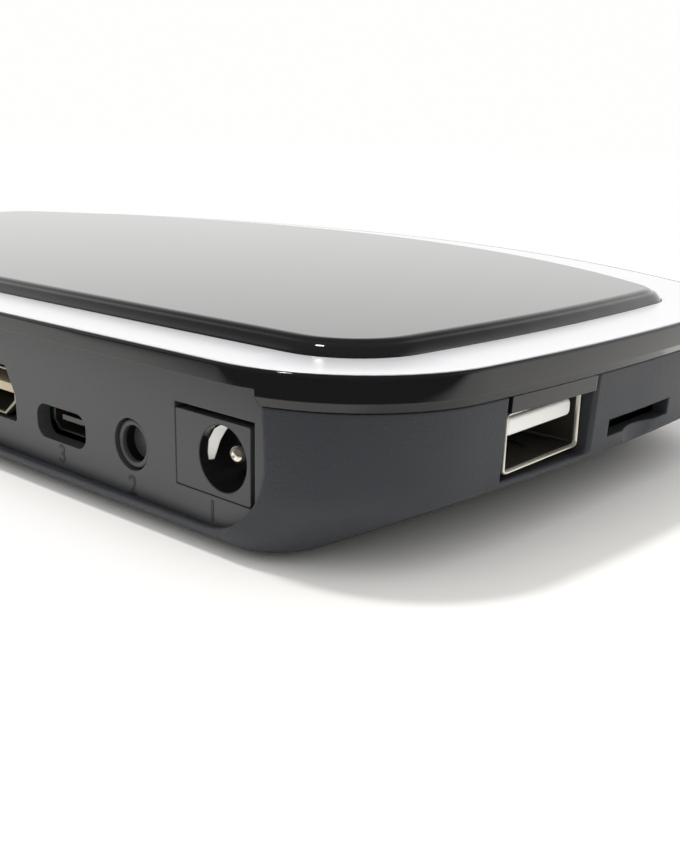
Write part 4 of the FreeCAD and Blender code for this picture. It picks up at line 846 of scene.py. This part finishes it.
@dataclass
class TopPanel(SubAssembly):
    """The raised glossy panel: its sloping edge, its rounded shoulder and its flat face."""

    points: int = 420
    slope_width: float = 1.55
    steepest: float = 62.0
    flattest: float = 22.0
    slope_levels: int = 10
    shoulder: float = 0.55
    shoulder_levels: int = 6
    same_level: float = 0.006
    same_spot: float = 0.02

    def build(self) -> None:
        """Loft the panel from the outline of the solid that it stands for."""
        low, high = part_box("top_panel")
        ring = self._outline()
        foot = ring[0].z
        inward = self._inward(ring)
        profile = self._profile((high.z - foot) / MM)
        loops: list[Loop] = [[Vector((point.x, point.y, low.z)) for point in ring]]
        for inset, height in profile:
            loops.append([Vector((point.x + way.x * inset * MM, point.y + way.y * inset * MM,
                                  foot + height * MM)) for point, way in zip(ring, inward)])
        self.add(skin("panel_crown", loops), "panel", ["top_panel"])

    def _profile(self, rise: float) -> Outline:
        """Draw the edge from the ledge up to the flat face.

        Args:
            rise: The height of the face over the ledge in millimetres.

        Returns:
            The distance inwards and the height of each level.
        """
        steep, flat = math.radians(self.steepest), math.radians(self.flattest)
        line = []
        for step in range(self.slope_levels + 1):
            turn = steep + (flat - steep) * step / self.slope_levels
            across = (math.sin(steep) - math.sin(turn)) / (math.sin(steep) - math.sin(flat))
            up = (math.cos(turn) - math.cos(steep)) / (math.cos(flat) - math.cos(steep))
            line.append((self.slope_width * across, rise * up))
        corner = Vector(line[-1])
        back = Vector(line[0]) - corner
        start = corner + back.normalized() * min(self.shoulder, back.length * 0.6)
        end = corner + Vector((self.shoulder, 0.0))
        line = [spot for spot in line if spot[1] < start.y - 0.02]
        for step in range(self.shoulder_levels + 1):
            share = step / self.shoulder_levels
            spot = start * (1 - share) ** 2 + corner * (2 * share * (1 - share)) + end * share ** 2
            line.append((spot.x, spot.y))
        return line

    def _outline(self) -> list[Vector]:
        """Read the outline at the ledge from the solid, spaced evenly.

        Returns:
            The outline's points.
        """
        solid = bpy.data.objects["top_panel"]
        levels = sorted({round(corner.co.z / MM, 2) for corner in solid.data.vertices})
        level = levels[1]
        found = [corner.co for corner in solid.data.vertices
                 if abs(corner.co.z / MM - level) < self.same_level]
        middle = sum(found, Vector()) / len(found)
        found.sort(key=lambda spot: math.atan2(spot.y - middle.y, spot.x - middle.x))
        ring = [found[0].copy()]
        for spot in found[1:]:
            if (spot - ring[-1]).length > self.same_spot * MM:
                ring.append(spot.copy())
        lengths = [(ring[(place + 1) % len(ring)] - spot).length for place, spot in enumerate(ring)]
        step = sum(lengths) / self.points
        even: list[Vector] = []
        walked, reach = 0.0, 0.0
        for place, spot in enumerate(ring):
            ahead = ring[(place + 1) % len(ring)]
            while reach < walked + lengths[place] and len(even) < self.points:
                even.append(spot.lerp(ahead, (reach - walked) / lengths[place]))
                reach += step
            walked += lengths[place]
        return even

    @staticmethod
    def _inward(ring: Sequence[Vector]) -> list[Vector]:
        """Find the level direction that points inwards at each point of an outline.

        Args:
            ring: The outline, anticlockwise.

        Returns:
            The directions.
        """
        ways = []
        for place in range(len(ring)):
            along = ring[(place + 2) % len(ring)] - ring[place - 2]
            ways.append(Vector((-along.y, along.x, 0)).normalized())
        return ways


@dataclass
class Numerals(SubAssembly):
    """Plain numbers that stand a hair proud of the plate, under the sockets near its left end."""

    height: float = 2.7
    lift: float = 0.012
    thickness: float = 0.01
    drop: float = 0.25
    stroke: float = 0.045
    places: dict[str, tuple[str, float]] = field(default_factory=lambda: {
        "1": ("power_jack_body", 0.0), "2": ("sound_jack_body", -0.1), "3": ("micro_port_shell", 0.2),
    })

    def build(self) -> None:
        """Shape the numbers and set them on the plate's face."""
        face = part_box("rear_port_plate")[1].y
        upright = Matrix.Rotation(math.pi, 4, "Z") @ Matrix.Rotation(math.pi / 2, 4, "X")
        for number, (socket, extra) in self.places.items():
            low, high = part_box(socket)
            data = bpy.data.curves.new("numeral_" + number, "FONT")
            data.body = number
            data.size = self.height * MM
            data.align_x = "CENTER"
            data.align_y = "TOP"
            data.offset = self.stroke * MM
            data.extrude = self.thickness * MM
            data.materials.append(self.finishes["lead_black"])
            piece = linked("numeral_" + number, data)
            place = Vector(((low.x + high.x) / 2, face + self.lift * MM,
                            low.z - (self.drop + extra) * MM))
            piece.matrix_world = Matrix.Translation(place) @ upright
            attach(piece, "root")
            log.info("numeral %s set", number)


@dataclass
class TypeAPorts(SubAssembly):
    """The type A sockets: a folded nickel shell with spring leaves, and a white tongue in it."""

    width: float = 13.1
    height: float = 5.7
    length: float = 14.0
    sheet: float = 0.3
    corner: float = 0.6
    lip: float = 0.14
    tongue_width: float = 11.1
    tongue_thickness: float = 1.7
    tongue_bottom: float = 0.42
    tongue_front: float = 0.5
    tongue_back: float = 9.4
    contacts: int = 4
    contact_pitch: float = 2.3
    contact_width: float = 1.0
    leaf_width: float = 2.3
    leaf_places: tuple[float, ...] = (-3.1, 3.1)

    def build(self) -> None:
        """Make the side socket and the two rear ones."""
        side = [mouth_of("side_port_shell", Side.LEFT)]
        for name, mouths in (("side_port", side), ("rear_port", self._rear_mouths())):
            many = "s" if len(mouths) > 1 else ""
            self.add(joined(name + "_frame", [self._shell(mouth) for mouth in mouths]), "nickel",
                     [name + "_shell" + many])
            self.add(joined(name + "_blade", [self._tongue(mouth) for mouth in mouths]),
                     "white_plastic", [name + "_tongue" + many])
            # The liner and its leaves are the nickel darkened into painted shade.
            self.add(joined(name + "_liner", [part for mouth in mouths for part in self._liner(mouth)]),
                     "shaded_nickel", slot="nickel")
            self.add(joined(name + "_strips", [strip for mouth in mouths
                                               for strip in self._contacts(mouth)]),
                     "gold_contact", [name + "_contacts"])

    def _rear_mouths(self) -> list[Mouth]:
        """Find the mouths of the two rear sockets from the box of their shells.

        Returns:
            The two mouths.
        """
        low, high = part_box("rear_port_shells")
        found = mouth_of("rear_port_shells", Side.REAR)
        mouths = []
        for x in (low.x + self.width / 2 * MM, high.x - self.width / 2 * MM):
            middle = Vector((x, found.middle.y, found.middle.z))
            mouths.append(Mouth(middle, found.across, found.up, found.inward))
        return mouths

    def _shell(self, mouth: Mouth) -> Piece:
        """Fold the shell: a cup with a thin, slightly open lip.

        Args:
            mouth: The socket's mouth.

        Returns:
            The shell.
        """
        wide, high, sheet = self.width, self.height, self.sheet
        steps = ((0.0, self.length), (0.0, 0.22), (0.03, 0.10), (0.09, 0.02), (self.lip, 0.0),
                 (sheet - 0.04, 0.10), (sheet, 0.40), (sheet, self.length - sheet))
        loops = [mouth.loop(rounded_outline(wide - 2 * inset, high - 2 * inset,
                                            max(self.corner - inset, 0.12)), depth)
                 for inset, depth in steps]
        return skin("port_cup", loops)

    def _liner(self, mouth: Mouth) -> list[Piece]:
        """Line the shell's inside, with its spring leaves, in nickel darkened as painted shade.

        Args:
            mouth: The socket's mouth.

        Returns:
            The lining and the leaves.
        """
        wide, high = self.width - 2 * self.sheet, self.height - 2 * self.sheet
        steps = ((0.0, self.length - 0.4), (0.0, 0.42), (0.01, 0.40), (0.03, 0.42),
                 (0.03, self.length - 0.45))
        loops = [mouth.loop(rounded_outline(wide - 2 * inset, high - 2 * inset, 0.28), depth)
                 for inset, depth in steps]
        pieces = [skin("port_lining", loops)]
        for across in self.leaf_places:
            for side in (-1, 1):
                pieces.append(self._leaf(mouth, across, side))
        return pieces

    def _leaf(self, mouth: Mouth, across: float, side: int) -> Piece:
        """Bend one spring leaf in from the upper or lower wall.

        Args:
            mouth: The socket's mouth.
            across: How far the leaf's middle lies to one side, in millimetres.
            side: 1 for the upper wall and -1 for the lower one.

        Returns:
            The leaf.
        """
        wall = side * (self.height / 2 - self.sheet)
        line = ((1.6, 0.0), (2.8, 0.10), (4.2, 0.30), (5.4, 0.42), (6.4, 0.34), (7.4, 0.10), (8.0, 0.0))
        loops = []
        for depth, rise in line:
            inner = wall - side * (rise + 0.02)
            outer = wall + side * 0.02 - side * rise * 0.6
            half = self.leaf_width / 2
            loops.append(mouth.loop(((across - half, inner), (across + half, inner),
                                     (across + half, outer), (across - half, outer)), depth))
        return skin("port_leaf", loops)

    def _tongue(self, mouth: Mouth) -> Piece:
        """Mould the tongue with its round front, and the root block behind it.

        Args:
            mouth: The socket's mouth.

        Returns:
            The tongue and its root as one piece.
        """
        centre = (0.0, self.tongue_bottom + self.tongue_thickness / 2)
        front = ((0.32, 0.0), (0.16, 0.06), (0.06, 0.18), (0.0, 0.38))
        loops = [mouth.loop(rounded_outline(self.tongue_width - 2 * inset,
                                            self.tongue_thickness - 2 * inset, 0.42, 5, centre),
                            self.tongue_front + depth) for inset, depth in front]
        loops.append(mouth.loop(rounded_outline(self.tongue_width, self.tongue_thickness, 0.42, 5,
                                                centre), self.tongue_back))
        root_wide = self.width - 2 * self.sheet - 0.1
        root_high = self.height - 2 * self.sheet - 0.1
        root = [mouth.loop(rounded_outline(root_wide - 2 * inset, root_high - 2 * inset, 0.3), depth)
                for inset, depth in ((0.12, self.tongue_back), (0.0, self.tongue_back + 0.12),
                                     (0.0, self.length - self.sheet - 0.05))]
        return joined("port_tongue_work", [skin("tongue", loops), skin("tongue_root", root)])

    def _contacts(self, mouth: Mouth) -> list[Piece]:
        """Lay the four contact strips under the tongue, with a raised middle.

        Args:
            mouth: The socket's mouth.

        Returns:
            The strips.
        """
        strips = []
        for place in range(self.contacts):
            across = (place - (self.contacts - 1) / 2) * self.contact_pitch
            loops = []
            for depth, sink in ((1.5, 0.0), (1.7, 0.10), (3.5, 0.18), (5.5, 0.20), (8.9, 0.12),
                                (9.3, 0.0)):
                half = self.contact_width / 2
                upper = self.tongue_bottom + 0.02
                lower = self.tongue_bottom - 0.02 - sink
                loops.append(mouth.loop(((across - half, lower), (across + half, lower),
                                         (across + half, upper), (across - half, upper)), depth))
            strips.append(skin("contact", loops))
        return strips


@dataclass
class PowerJack(SubAssembly):
    """The barrel jack: its block in the plate's plastic, a glossy sleeve, its pin and a leaf."""

    bore_radius: float = 3.15
    sleeve_wall: float = 0.1
    sleeve_depth: float = 9.3
    pin_radius: float = 0.95
    tip_length: float = 0.75
    tip_steps: int = 8
    leaf_depth: float = 0.9
    leaf_rounding: float = 0.04

    def build(self) -> None:
        """Dress the block and make the sleeve, the pin and the leaf."""
        self.dress("power_jack_body", "plate")
        low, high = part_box("power_jack_pin")
        mouth = mouth_of("power_jack_body", Side.REAR)
        middle = Vector(((low.x + high.x) / 2, mouth.middle.y, (low.z + high.z) / 2))
        bore = Mouth(middle, mouth.across, mouth.up, mouth.inward)
        self._sleeve(bore)
        self._pin(bore, (mouth.middle.y - high.y) / MM, (mouth.middle.y - low.y) / MM)
        self._leaf(bore)

    def _sleeve(self, bore: Mouth) -> None:
        """Line the bore with a glossy black sleeve that is a little rounded at its mouth.

        Args:
            bore: The mouth of the bore.
        """
        outer = self.bore_radius - 0.005
        inner = self.bore_radius - self.sleeve_wall
        steps = ((outer, self.sleeve_depth), (outer, 0.02), (outer - 0.02, 0.0),
                 (inner + 0.03, 0.01), (inner, 0.08), (inner, self.sleeve_depth - 0.2))
        loops = [bore.loop(circle_outline(radius, 72), depth) for radius, depth in steps]
        self.add(skin("power_jack_sleeve", loops), "jack_black")

    def _pin(self, bore: Mouth, tip: float, root: float) -> None:
        """Turn the pin with its round tip and the small dimple in it.

        Args:
            bore: The mouth of the bore.
            tip: The depth of its tip in millimetres.
            root: The depth of its far end in millimetres.
        """
        radius = self.pin_radius
        steps = [(radius, root), (radius, tip + self.tip_length)]
        for step in range(1, self.tip_steps):
            turn = math.radians(90) * step / self.tip_steps
            steps.append((radius * math.cos(turn) ** 0.8,
                          tip + self.tip_length * (1 - math.sin(turn))))
        steps += [(radius * 0.22, tip + 0.01), (radius * 0.16, tip + 0.06)]
        self.add(skin("power_jack_post", [bore.loop(circle_outline(size, 40), depth)
                                          for size, depth in steps]), "pin_metal", ["power_jack_pin"])

    def _leaf(self, bore: Mouth) -> None:
        """Bend a contact leaf in the upper inner side of the bore, coloured near white as a painted
        reflection.

        Args:
            bore: The mouth of the bore.
        """
        wall = self.bore_radius - self.sleeve_wall - 0.05
        rows = ((2.85, 0.35, 0.75), (2.2, 0.60, 1.0), (1.0, 0.70, 0.85), (-0.2, 0.60, 0.60),
                (-0.9, 0.45, 0.30))
        loops = []
        front = self.leaf_depth
        for height, reach, span in rows:
            edge = math.sqrt(max(wall ** 2 - height ** 2, 0.04))
            loops.append([bore.at(edge, height, front), bore.at(edge - span, height, front + reach),
                          bore.at(edge - span + 0.1, height, front + reach + 0.12),
                          bore.at(edge, height, front + 0.3)])
        self.add(skin("power_jack_leaf", loops), "bright_leaf", slot="pin_metal",
                 rounding=self.leaf_rounding)


@dataclass
class SoundJack(SubAssembly):
    """The round jack for sound and picture: a turned nozzle on its block."""

    nozzle_radius: float = 2.45
    bore_radius: float = 1.8
    bore_depth: float = 12.0

    def build(self) -> None:
        """Turn the nozzle and set its block behind the plate."""
        low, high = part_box("sound_jack_body")
        mouth = mouth_of("sound_jack_body", Side.REAR)
        plate_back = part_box("rear_port_plate")[0].y
        block_front = (high.y - plate_back) / MM + 0.1
        rim = ((self.nozzle_radius, block_front + 0.2), (self.nozzle_radius, 0.24),
               (self.nozzle_radius - 0.06, 0.10), (self.nozzle_radius - 0.2, 0.0),
               (self.bore_radius + 0.14, 0.0), (self.bore_radius + 0.04, 0.06),
               (self.bore_radius, 0.2), (self.bore_radius, self.bore_depth))
        nozzle = skin("sound_nozzle", [mouth.loop(circle_outline(radius, 56), depth)
                                       for radius, depth in rim])
        wide = (high.x - low.x) / MM
        tall = (high.z - low.z) / MM
        steps = ((0.15, block_front), (0.0, block_front + 0.15), (0.0, (high.y - low.y) / MM))
        block = skin("sound_block", [
            mouth.loop(ring_round(rounded_outline(wide - 2 * inset, tall - 2 * inset, 0.4, 12)), depth)
            for inset, depth in steps])
        self.add(joined("sound_jack_housing", [nozzle, block]), "plate", ["sound_jack_body"])
        # A near-black lining inside the bore paints its shade.
        steps = ((0.0, self.bore_depth - 0.1), (0.0, 0.5), (0.02, 0.45), (0.05, 0.5),
                 (0.05, self.bore_depth - 0.3))
        self.add(skin("sound_bore_lining", [
            mouth.loop(circle_outline(self.bore_radius - inset, 48), depth)
            for inset, depth in steps]), "bore_black", slot="jack_black")
        self.dress("sound_jack_ring", "nickel")


@dataclass
class ServicePort(SubAssembly):
    """The small five-contact socket, well behind its rounded opening."""

    width: float = 7.5
    narrow: float = 5.7
    height: float = 2.6
    setback: float = 0.75
    sheet: float = 0.25

    def build(self) -> None:
        """Fold the shell and dress the tongue."""
        mouth = mouth_of("micro_port_shell", Side.REAR)
        low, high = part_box("micro_port_shell")
        length = (high.y - low.y) / MM
        steps = ((0.0, length), (0.0, self.setback + 0.1), (0.06, self.setback),
                 (self.sheet - 0.05, self.setback), (self.sheet, self.setback + 0.2),
                 (self.sheet, length - self.sheet))
        loops = [mouth.loop(self._outline(inset), depth) for inset, depth in steps]
        # The whole shell is the nickel darkened into painted shade.
        self.add(skin("micro_port_frame", loops), "shaded_nickel", ["micro_port_shell"], "nickel")
        self.dress("micro_port_tongue", "jack_black")

    def _outline(self, inset: float) -> Outline:
        """Draw the shell's outline: wide above, with slanting lower corners.

        Args:
            inset: How far inside the shell's outer face it lies, in millimetres.

        Returns:
            The outline's points.
        """
        wide, narrow, tall = self.width / 2 - inset, self.narrow / 2 - inset, self.height / 2 - inset
        return [(wide, tall - 0.2), (wide - 0.2, tall), (-wide + 0.2, tall), (-wide, tall - 0.2),
                (-wide, -tall * 0.2), (-narrow, -tall), (narrow, -tall), (wide, -tall * 0.2)]


@dataclass
class PicturePort(SubAssembly):
    """The flat picture socket: a folded shell with slanting lower corners, and its tongue."""

    narrow: float = 10.2
    shoulder: float = 1.6
    sheet: float = 0.3
    tongue_rounding: float = 0.08

    def build(self) -> None:
        """Fold the shell, line it and dress the tongue."""
        mouth = mouth_of("picture_shell", Side.REAR)
        low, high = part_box("picture_shell")
        wide, length, tall = (high - low) / MM
        sheet = self.sheet
        folds = ((0.0, length), (0.0, 0.15), (0.04, 0.04), (0.10, 0.0), (sheet - 0.08, 0.0),
                 (sheet - 0.02, 0.06), (sheet, 0.25), (sheet, length - sheet))
        inside = ((sheet, length - 0.4), (sheet, 0.30), (sheet + 0.03, 0.30),
                  (sheet + 0.03, length - 0.5))
        # The frame's nickel is darkened part way into painted shade, and the lining's fully.
        for name, steps, finish, stands_for in (
                ("picture_frame", folds, "dull_nickel", ["picture_shell"]),
                ("picture_lining", inside, "shaded_nickel", [])):
            loops = [mouth.loop(self._outline(wide, tall, inset), depth) for inset, depth in steps]
            self.add(skin(name, loops), finish, stands_for, "nickel")
        self.dress("picture_tongue", "tan_plastic", self.tongue_rounding)

    def _outline(self, width: float, height: float, inset: float) -> Outline:
        """Draw the outline: full width above, and drawn in below its shoulders.

        Args:
            width: The shell's whole width.
            height: The shell's whole height.
            inset: How far inside the shell's outer face it lies, in millimetres.

        Returns:
            The outline's points.
        """
        wide, tall = width / 2 - inset, height / 2 - inset
        narrow = self.narrow / 2 - inset * 0.7
        knee = -tall + self.shoulder
        return [(wide, tall - 0.25), (wide - 0.25, tall), (-wide + 0.25, tall), (-wide, tall - 0.25),
                (-wide, knee + 0.2), (-wide + 0.15, knee), (-narrow - 0.2, -tall + 0.2),
                (-narrow, -tall), (narrow, -tall), (narrow + 0.2, -tall + 0.2), (wide - 0.15, knee),
                (wide, knee + 0.2)]


@dataclass
class NetworkPort(SubAssembly):
    """The network socket: its housing, its shield and its sprung contact wires."""

    wires: int = 8
    wire_pitch: float = 1.02
    wire_radius: float = 0.16
    rise: float = 3.1

    def build(self) -> None:
        """Dress the housing and its shield, and bend the wires."""
        self.dress("network_housing", "jack_black")
        self.dress("network_shield", "nickel")
        low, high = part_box("network_contacts")
        middle = (low.x + high.x) / 2
        wires = []
        for place in range(self.wires):
            x = middle + (place - (self.wires - 1) / 2) * self.wire_pitch * MM
            line = (Vector((x, high.y - 0.1 * MM, high.z - 0.1 * MM)),
                    Vector((x, high.y - 0.9 * MM, high.z - 0.3 * MM)),
                    Vector((x, (low.y + high.y) / 2, high.z - self.rise * 0.55 * MM)),
                    Vector((x, low.y + 1.6 * MM, high.z - self.rise * MM)))
            wires.append(self._wire(line))
        self.add(joined("network_wires", wires), "gold_contact", ["network_contacts"])

    def _wire(self, line: Sequence[Vector]) -> Piece:
        """Sweep a round wire along a line that bends up and down only.

        Args:
            line: The wire's middle line.

        Returns:
            The wire.
        """
        loops: list[Loop] = []
        for place, point in enumerate(line):
            before = line[max(place - 1, 0)]
            after = line[min(place + 1, len(line) - 1)]
            along = (after - before).normalized()
            side = Vector((1, 0, 0))
            over = along.cross(side).normalized()
            loops.append([point + side * (u * MM) + over * (v * MM)
                          for u, v in circle_outline(self.wire_radius, 10)])
        return skin("network_wire", loops)


@dataclass
class Fasteners(SubAssembly):
    """The cross-headed case screws and the round rubber feet in the underside."""

    foot_radius: float = 4.95
    foot_places: tuple[tuple[float, float], ...] = ((-56.0, 36.5), (56.0, 36.5), (-44.0, -19.0),
                                                    (44.0, -19.0))

    def build(self) -> None:
        """Mould the feet with their raised rim and ring, and dress the screws."""
        low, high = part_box("rubber_feet")
        tall = (high.z - low.z) / MM
        feet = []
        for x, y in self.foot_places:
            base = Mouth(Vector((x * MM, y * MM, low.z)), Vector((1, 0, 0)), Vector((0, 1, 0)),
                         Vector((0, 0, 1)))
            radius = self.foot_radius
            steps = ((radius, tall), (radius, 0.45), (radius - 0.08, 0.2), (radius - 0.3, 0.03),
                     (radius - 0.6, 0.0), (radius - 1.1, 0.0), (radius - 1.25, 0.12),
                     (radius - 1.55, 0.12), (radius - 1.7, 0.0), (0.6, 0.0), (0.4, 0.1), (0.05, 0.14))
            feet.append(skin("foot", [base.loop(circle_outline(size, 48), depth)
                                      for size, depth in steps]))
        self.add(joined("foot_pads", feet), "foot_rubber", ["rubber_feet"])
        self.dress("case_screws", "screw_steel")


@dataclass
class CardSocket(SubAssembly):
    """The card socket: its sprung carriage, and the coil spring that pushes the card out."""

    coil_radius: float = 0.33
    wire_radius: float = 0.06
    turns: int = 9
    steps_a_turn: int = 16
    travel: float = 3.6
    carriage_rounding: float = 0.06

    def build(self) -> None:
        """Dress the socket and wind the spring."""
        self.dress("card_socket_base", "jack_black")
        self.dress("card_socket_cover", "nickel")
        self.dress("card_carriage", "tan_plastic", self.carriage_rounding)
        self._spring()

    def _spring(self) -> None:
        """Wind the coil spring along its solid."""
        low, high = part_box("card_spring")
        middle = (low + high) / 2
        margin = self.wire_radius * MM
        count = self.turns * self.steps_a_turn
        loops: list[Loop] = []
        for step in range(count + 1):
            turn = 2 * math.pi * step / self.steps_a_turn
            radial = Vector((0, math.cos(turn), math.sin(turn)))
            centre = Vector((low.x + margin + (high.x - low.x - 2 * margin) * step / count,
                             middle.y, middle.z)) + radial * (self.coil_radius * MM)
            loops.append([centre + radial * (u * MM) + Vector((v * MM, 0, 0))
                          for u, v in circle_outline(self.wire_radius, 8)])
        spring = skin("card_coil", loops)
        self.add(spring, "spring_steel", ["card_spring"])
        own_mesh(spring)


@dataclass
class CircuitBoard(SubAssembly):
    """The board's small parts and the legs of two of its chips."""

    seed: int = 7
    small_parts: int = 70
    tries: int = 600
    edge_margin: float = 6.0
    room: float = 1.5
    sunk: float = 0.02
    clear_round: float = 3.2
    level_within: float = 0.1
    body_size: Spot = (1.0, 0.78)
    end_size: Spot = (0.36, 0.8)
    end_place: float = 0.62
    leg_pitch: float = 0.8
    leg_half_width: float = 0.14
    leg_half_thickness: float = 0.06
    legged: tuple[str, ...] = ("flash_chip", "network_transformer")
    kept_clear: tuple[str, ...] = (
        "processor", "heat_sink", "memory_chips", "flash_chip", "regulators", "crystal",
        "network_transformer", "radio_board", "power_coils", "card_socket_cover", "picture_shell",
        "network_shield", "power_jack_body", "sound_jack_body", "micro_port_shell",
        "side_port_shell", "rear_port_shells", "capacitors", "remote_receiver", "status_lamp",
        "board_screws")

    def build(self) -> None:
        """Set the small parts and the legs of the chips."""
        rng = random.Random(self.seed)
        low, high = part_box("main_board")
        taken = [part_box(name) for name in self.kept_clear]
        margin, room = self.edge_margin * MM, self.room * MM
        bodies: list[Piece] = []
        ends: list[Piece] = []
        for _ in range(self.tries):
            if len(bodies) >= self.small_parts:
                break
            x = rng.uniform(low.x + margin, high.x - margin)
            y = rng.uniform(low.y + margin, high.y - margin)
            if any(box_low.x - room < x < box_high.x + room
                   and box_low.y - room < y < box_high.y + room for box_low, box_high in taken):
                continue
            spot = Vector((x, y, high.z - self.sunk * MM))
            if not self._on_board(spot):
                continue
            taken.append((spot, spot))
            body, tips = self._small_part(spot, rng.random() < 0.5)
            bodies.append(body)
            ends.append(tips)
        legs = [leg for chip in self.legged for leg in self._legs(chip)]
        self.add(joined("board_small_parts", bodies), "tan_plastic")
        self.add(joined("board_small_part_ends", ends), "can_metal")
        self.add(joined("chip_legs", legs), "can_metal")

    def _on_board(self, spot: Vector) -> bool:
        """Tell whether the board lies under a spot and all round it, clear of edges and holes.

        Args:
            spot: The spot on the board's upper face.

        Returns:
            Whether it does.
        """
        board = bpy.data.objects["main_board"]
        reach = self.clear_round * MM
        for across, along in ((0, 0), (1, 0), (-1, 0), (0, 1), (0, -1), (0.7, 0.7), (0.7, -0.7),
                              (-0.7, 0.7), (-0.7, -0.7)):
            above = spot + Vector((across * reach, along * reach, MM))
            hit, place, _, _ = board.ray_cast(above, Vector((0, 0, -1)))
            if not hit or abs(place.z - spot.z) > self.level_within * MM:
                return False
        return True

    def _small_part(self, spot: Vector, turned: bool) -> tuple[Piece, Piece]:
        """Make one small part with rounded ends of solder.

        Args:
            spot: Its foot's middle.
            turned: Whether it lies along the board's width.

        Returns:
            Its body and its two ends.
        """
        across, up = Vector((1, 0, 0)), Vector((0, 1, 0))
        if turned:
            across, up = up, across
        base = Mouth(spot, across, up, Vector((0, 0, 1)))
        wide, deep = self.body_size
        body = skin("small_body", [
            base.loop(rounded_outline(wide - 2 * inset, deep - 2 * inset, 0.1, 2), depth)
            for inset, depth in ((0.0, 0.0), (0.0, 0.42), (0.06, 0.48))])
        wide, deep = self.end_size
        tips = []
        for side in (-1, 1):
            centre = (side * self.end_place, 0.0)
            tips.append(skin("small_end", [
                base.loop(rounded_outline(wide - 2 * inset, deep - 2 * inset, 0.1, 2, centre), depth)
                for inset, depth in ((0.0, 0.0), (0.0, 0.44), (0.05, 0.5))]))
        return body, joined("small_ends", tips)

    def _legs(self, chip: str) -> list[Piece]:
        """Bend the legs along a chip's two long sides.

        Args:
            chip: The chip's name.

        Returns:
            The legs.
        """
        low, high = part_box(chip)
        long_x = high.x - low.x >= high.y - low.y
        run = (high.x - low.x if long_x else high.y - low.y) / MM
        middle = (low + high) / 2
        count = int((run - 1.0) / self.leg_pitch)
        half = self.leg_half_width * MM
        thick = Vector((0, 0, self.leg_half_thickness * MM))
        legs = []
        for side in (-1, 1):
            for place in range(count):
                step = (place - (count - 1) / 2) * self.leg_pitch * MM
                if long_x:
                    foot = Vector((middle.x + step, (high.y if side > 0 else low.y), low.z))
                    out, along = Vector((0, side, 0)), Vector((1, 0, 0))
                else:
                    foot = Vector(((high.x if side > 0 else low.x), middle.y + step, low.z))
                    out, along = Vector((side, 0, 0)), Vector((0, 1, 0))
                loops: list[Loop] = []
                for reach, rise in ((-0.15, 0.45), (0.18, 0.42), (0.30, 0.10), (0.62, 0.08)):
                    centre = foot + out * (reach * MM) + Vector((0, 0, rise * MM))
                    loops.append([centre + along * half + thick, centre - along * half + thick,
                                  centre - along * half - thick, centre + along * half - thick])
                legs.append(skin("leg", loops))
        return legs


@dataclass
class Electronics(SubAssembly):
    """The circuit board and what stands on it."""

    parts: dict[str, str] = field(default_factory=lambda: {
        "board_screws": "screw_steel", "main_board": "board", "power_jack_blade": "pin_metal",
        "reset_switch_body": "jack_black", "reset_plunger": "button_grey", "processor": "chip",
        "memory_chips": "chip", "flash_chip": "chip", "regulators": "chip",
        "network_transformer": "chip", "thermal_pad": "pad_grey", "heat_sink": "sink",
        "capacitors": "can_metal", "power_coils": "coil_grey", "crystal": "can_metal",
        "radio_board": "board", "radio_can": "nickel", "aerial": "aerial_copper",
        "aerial_lead": "lead_black", "remote_receiver": "jack_black", "status_lamp": "lamp",
    })

    def build(self) -> None:
        """Dress the solids on the board."""
        for node, finish in self.parts.items():
            self.dress(node, finish)


def main() -> None:
    """Build the studio, the finishes and the sub-assemblies in order."""
    logging.basicConfig(level=logging.INFO, format="%(name)s: %(message)s")
    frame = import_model()
    Studio().build()
    effects = Effects()
    finishes = {finish.name: finish.material(effects) for finish in FINISHES}
    for assembly in (Casing, TopPanel, Numerals, TypeAPorts, PowerJack, SoundJack, ServicePort,
                     PicturePort, NetworkPort, CardSocket, Fasteners, Electronics, CircuitBoard):
        assembly(frame, finishes).build()


if __name__ == "__main__":
    main()
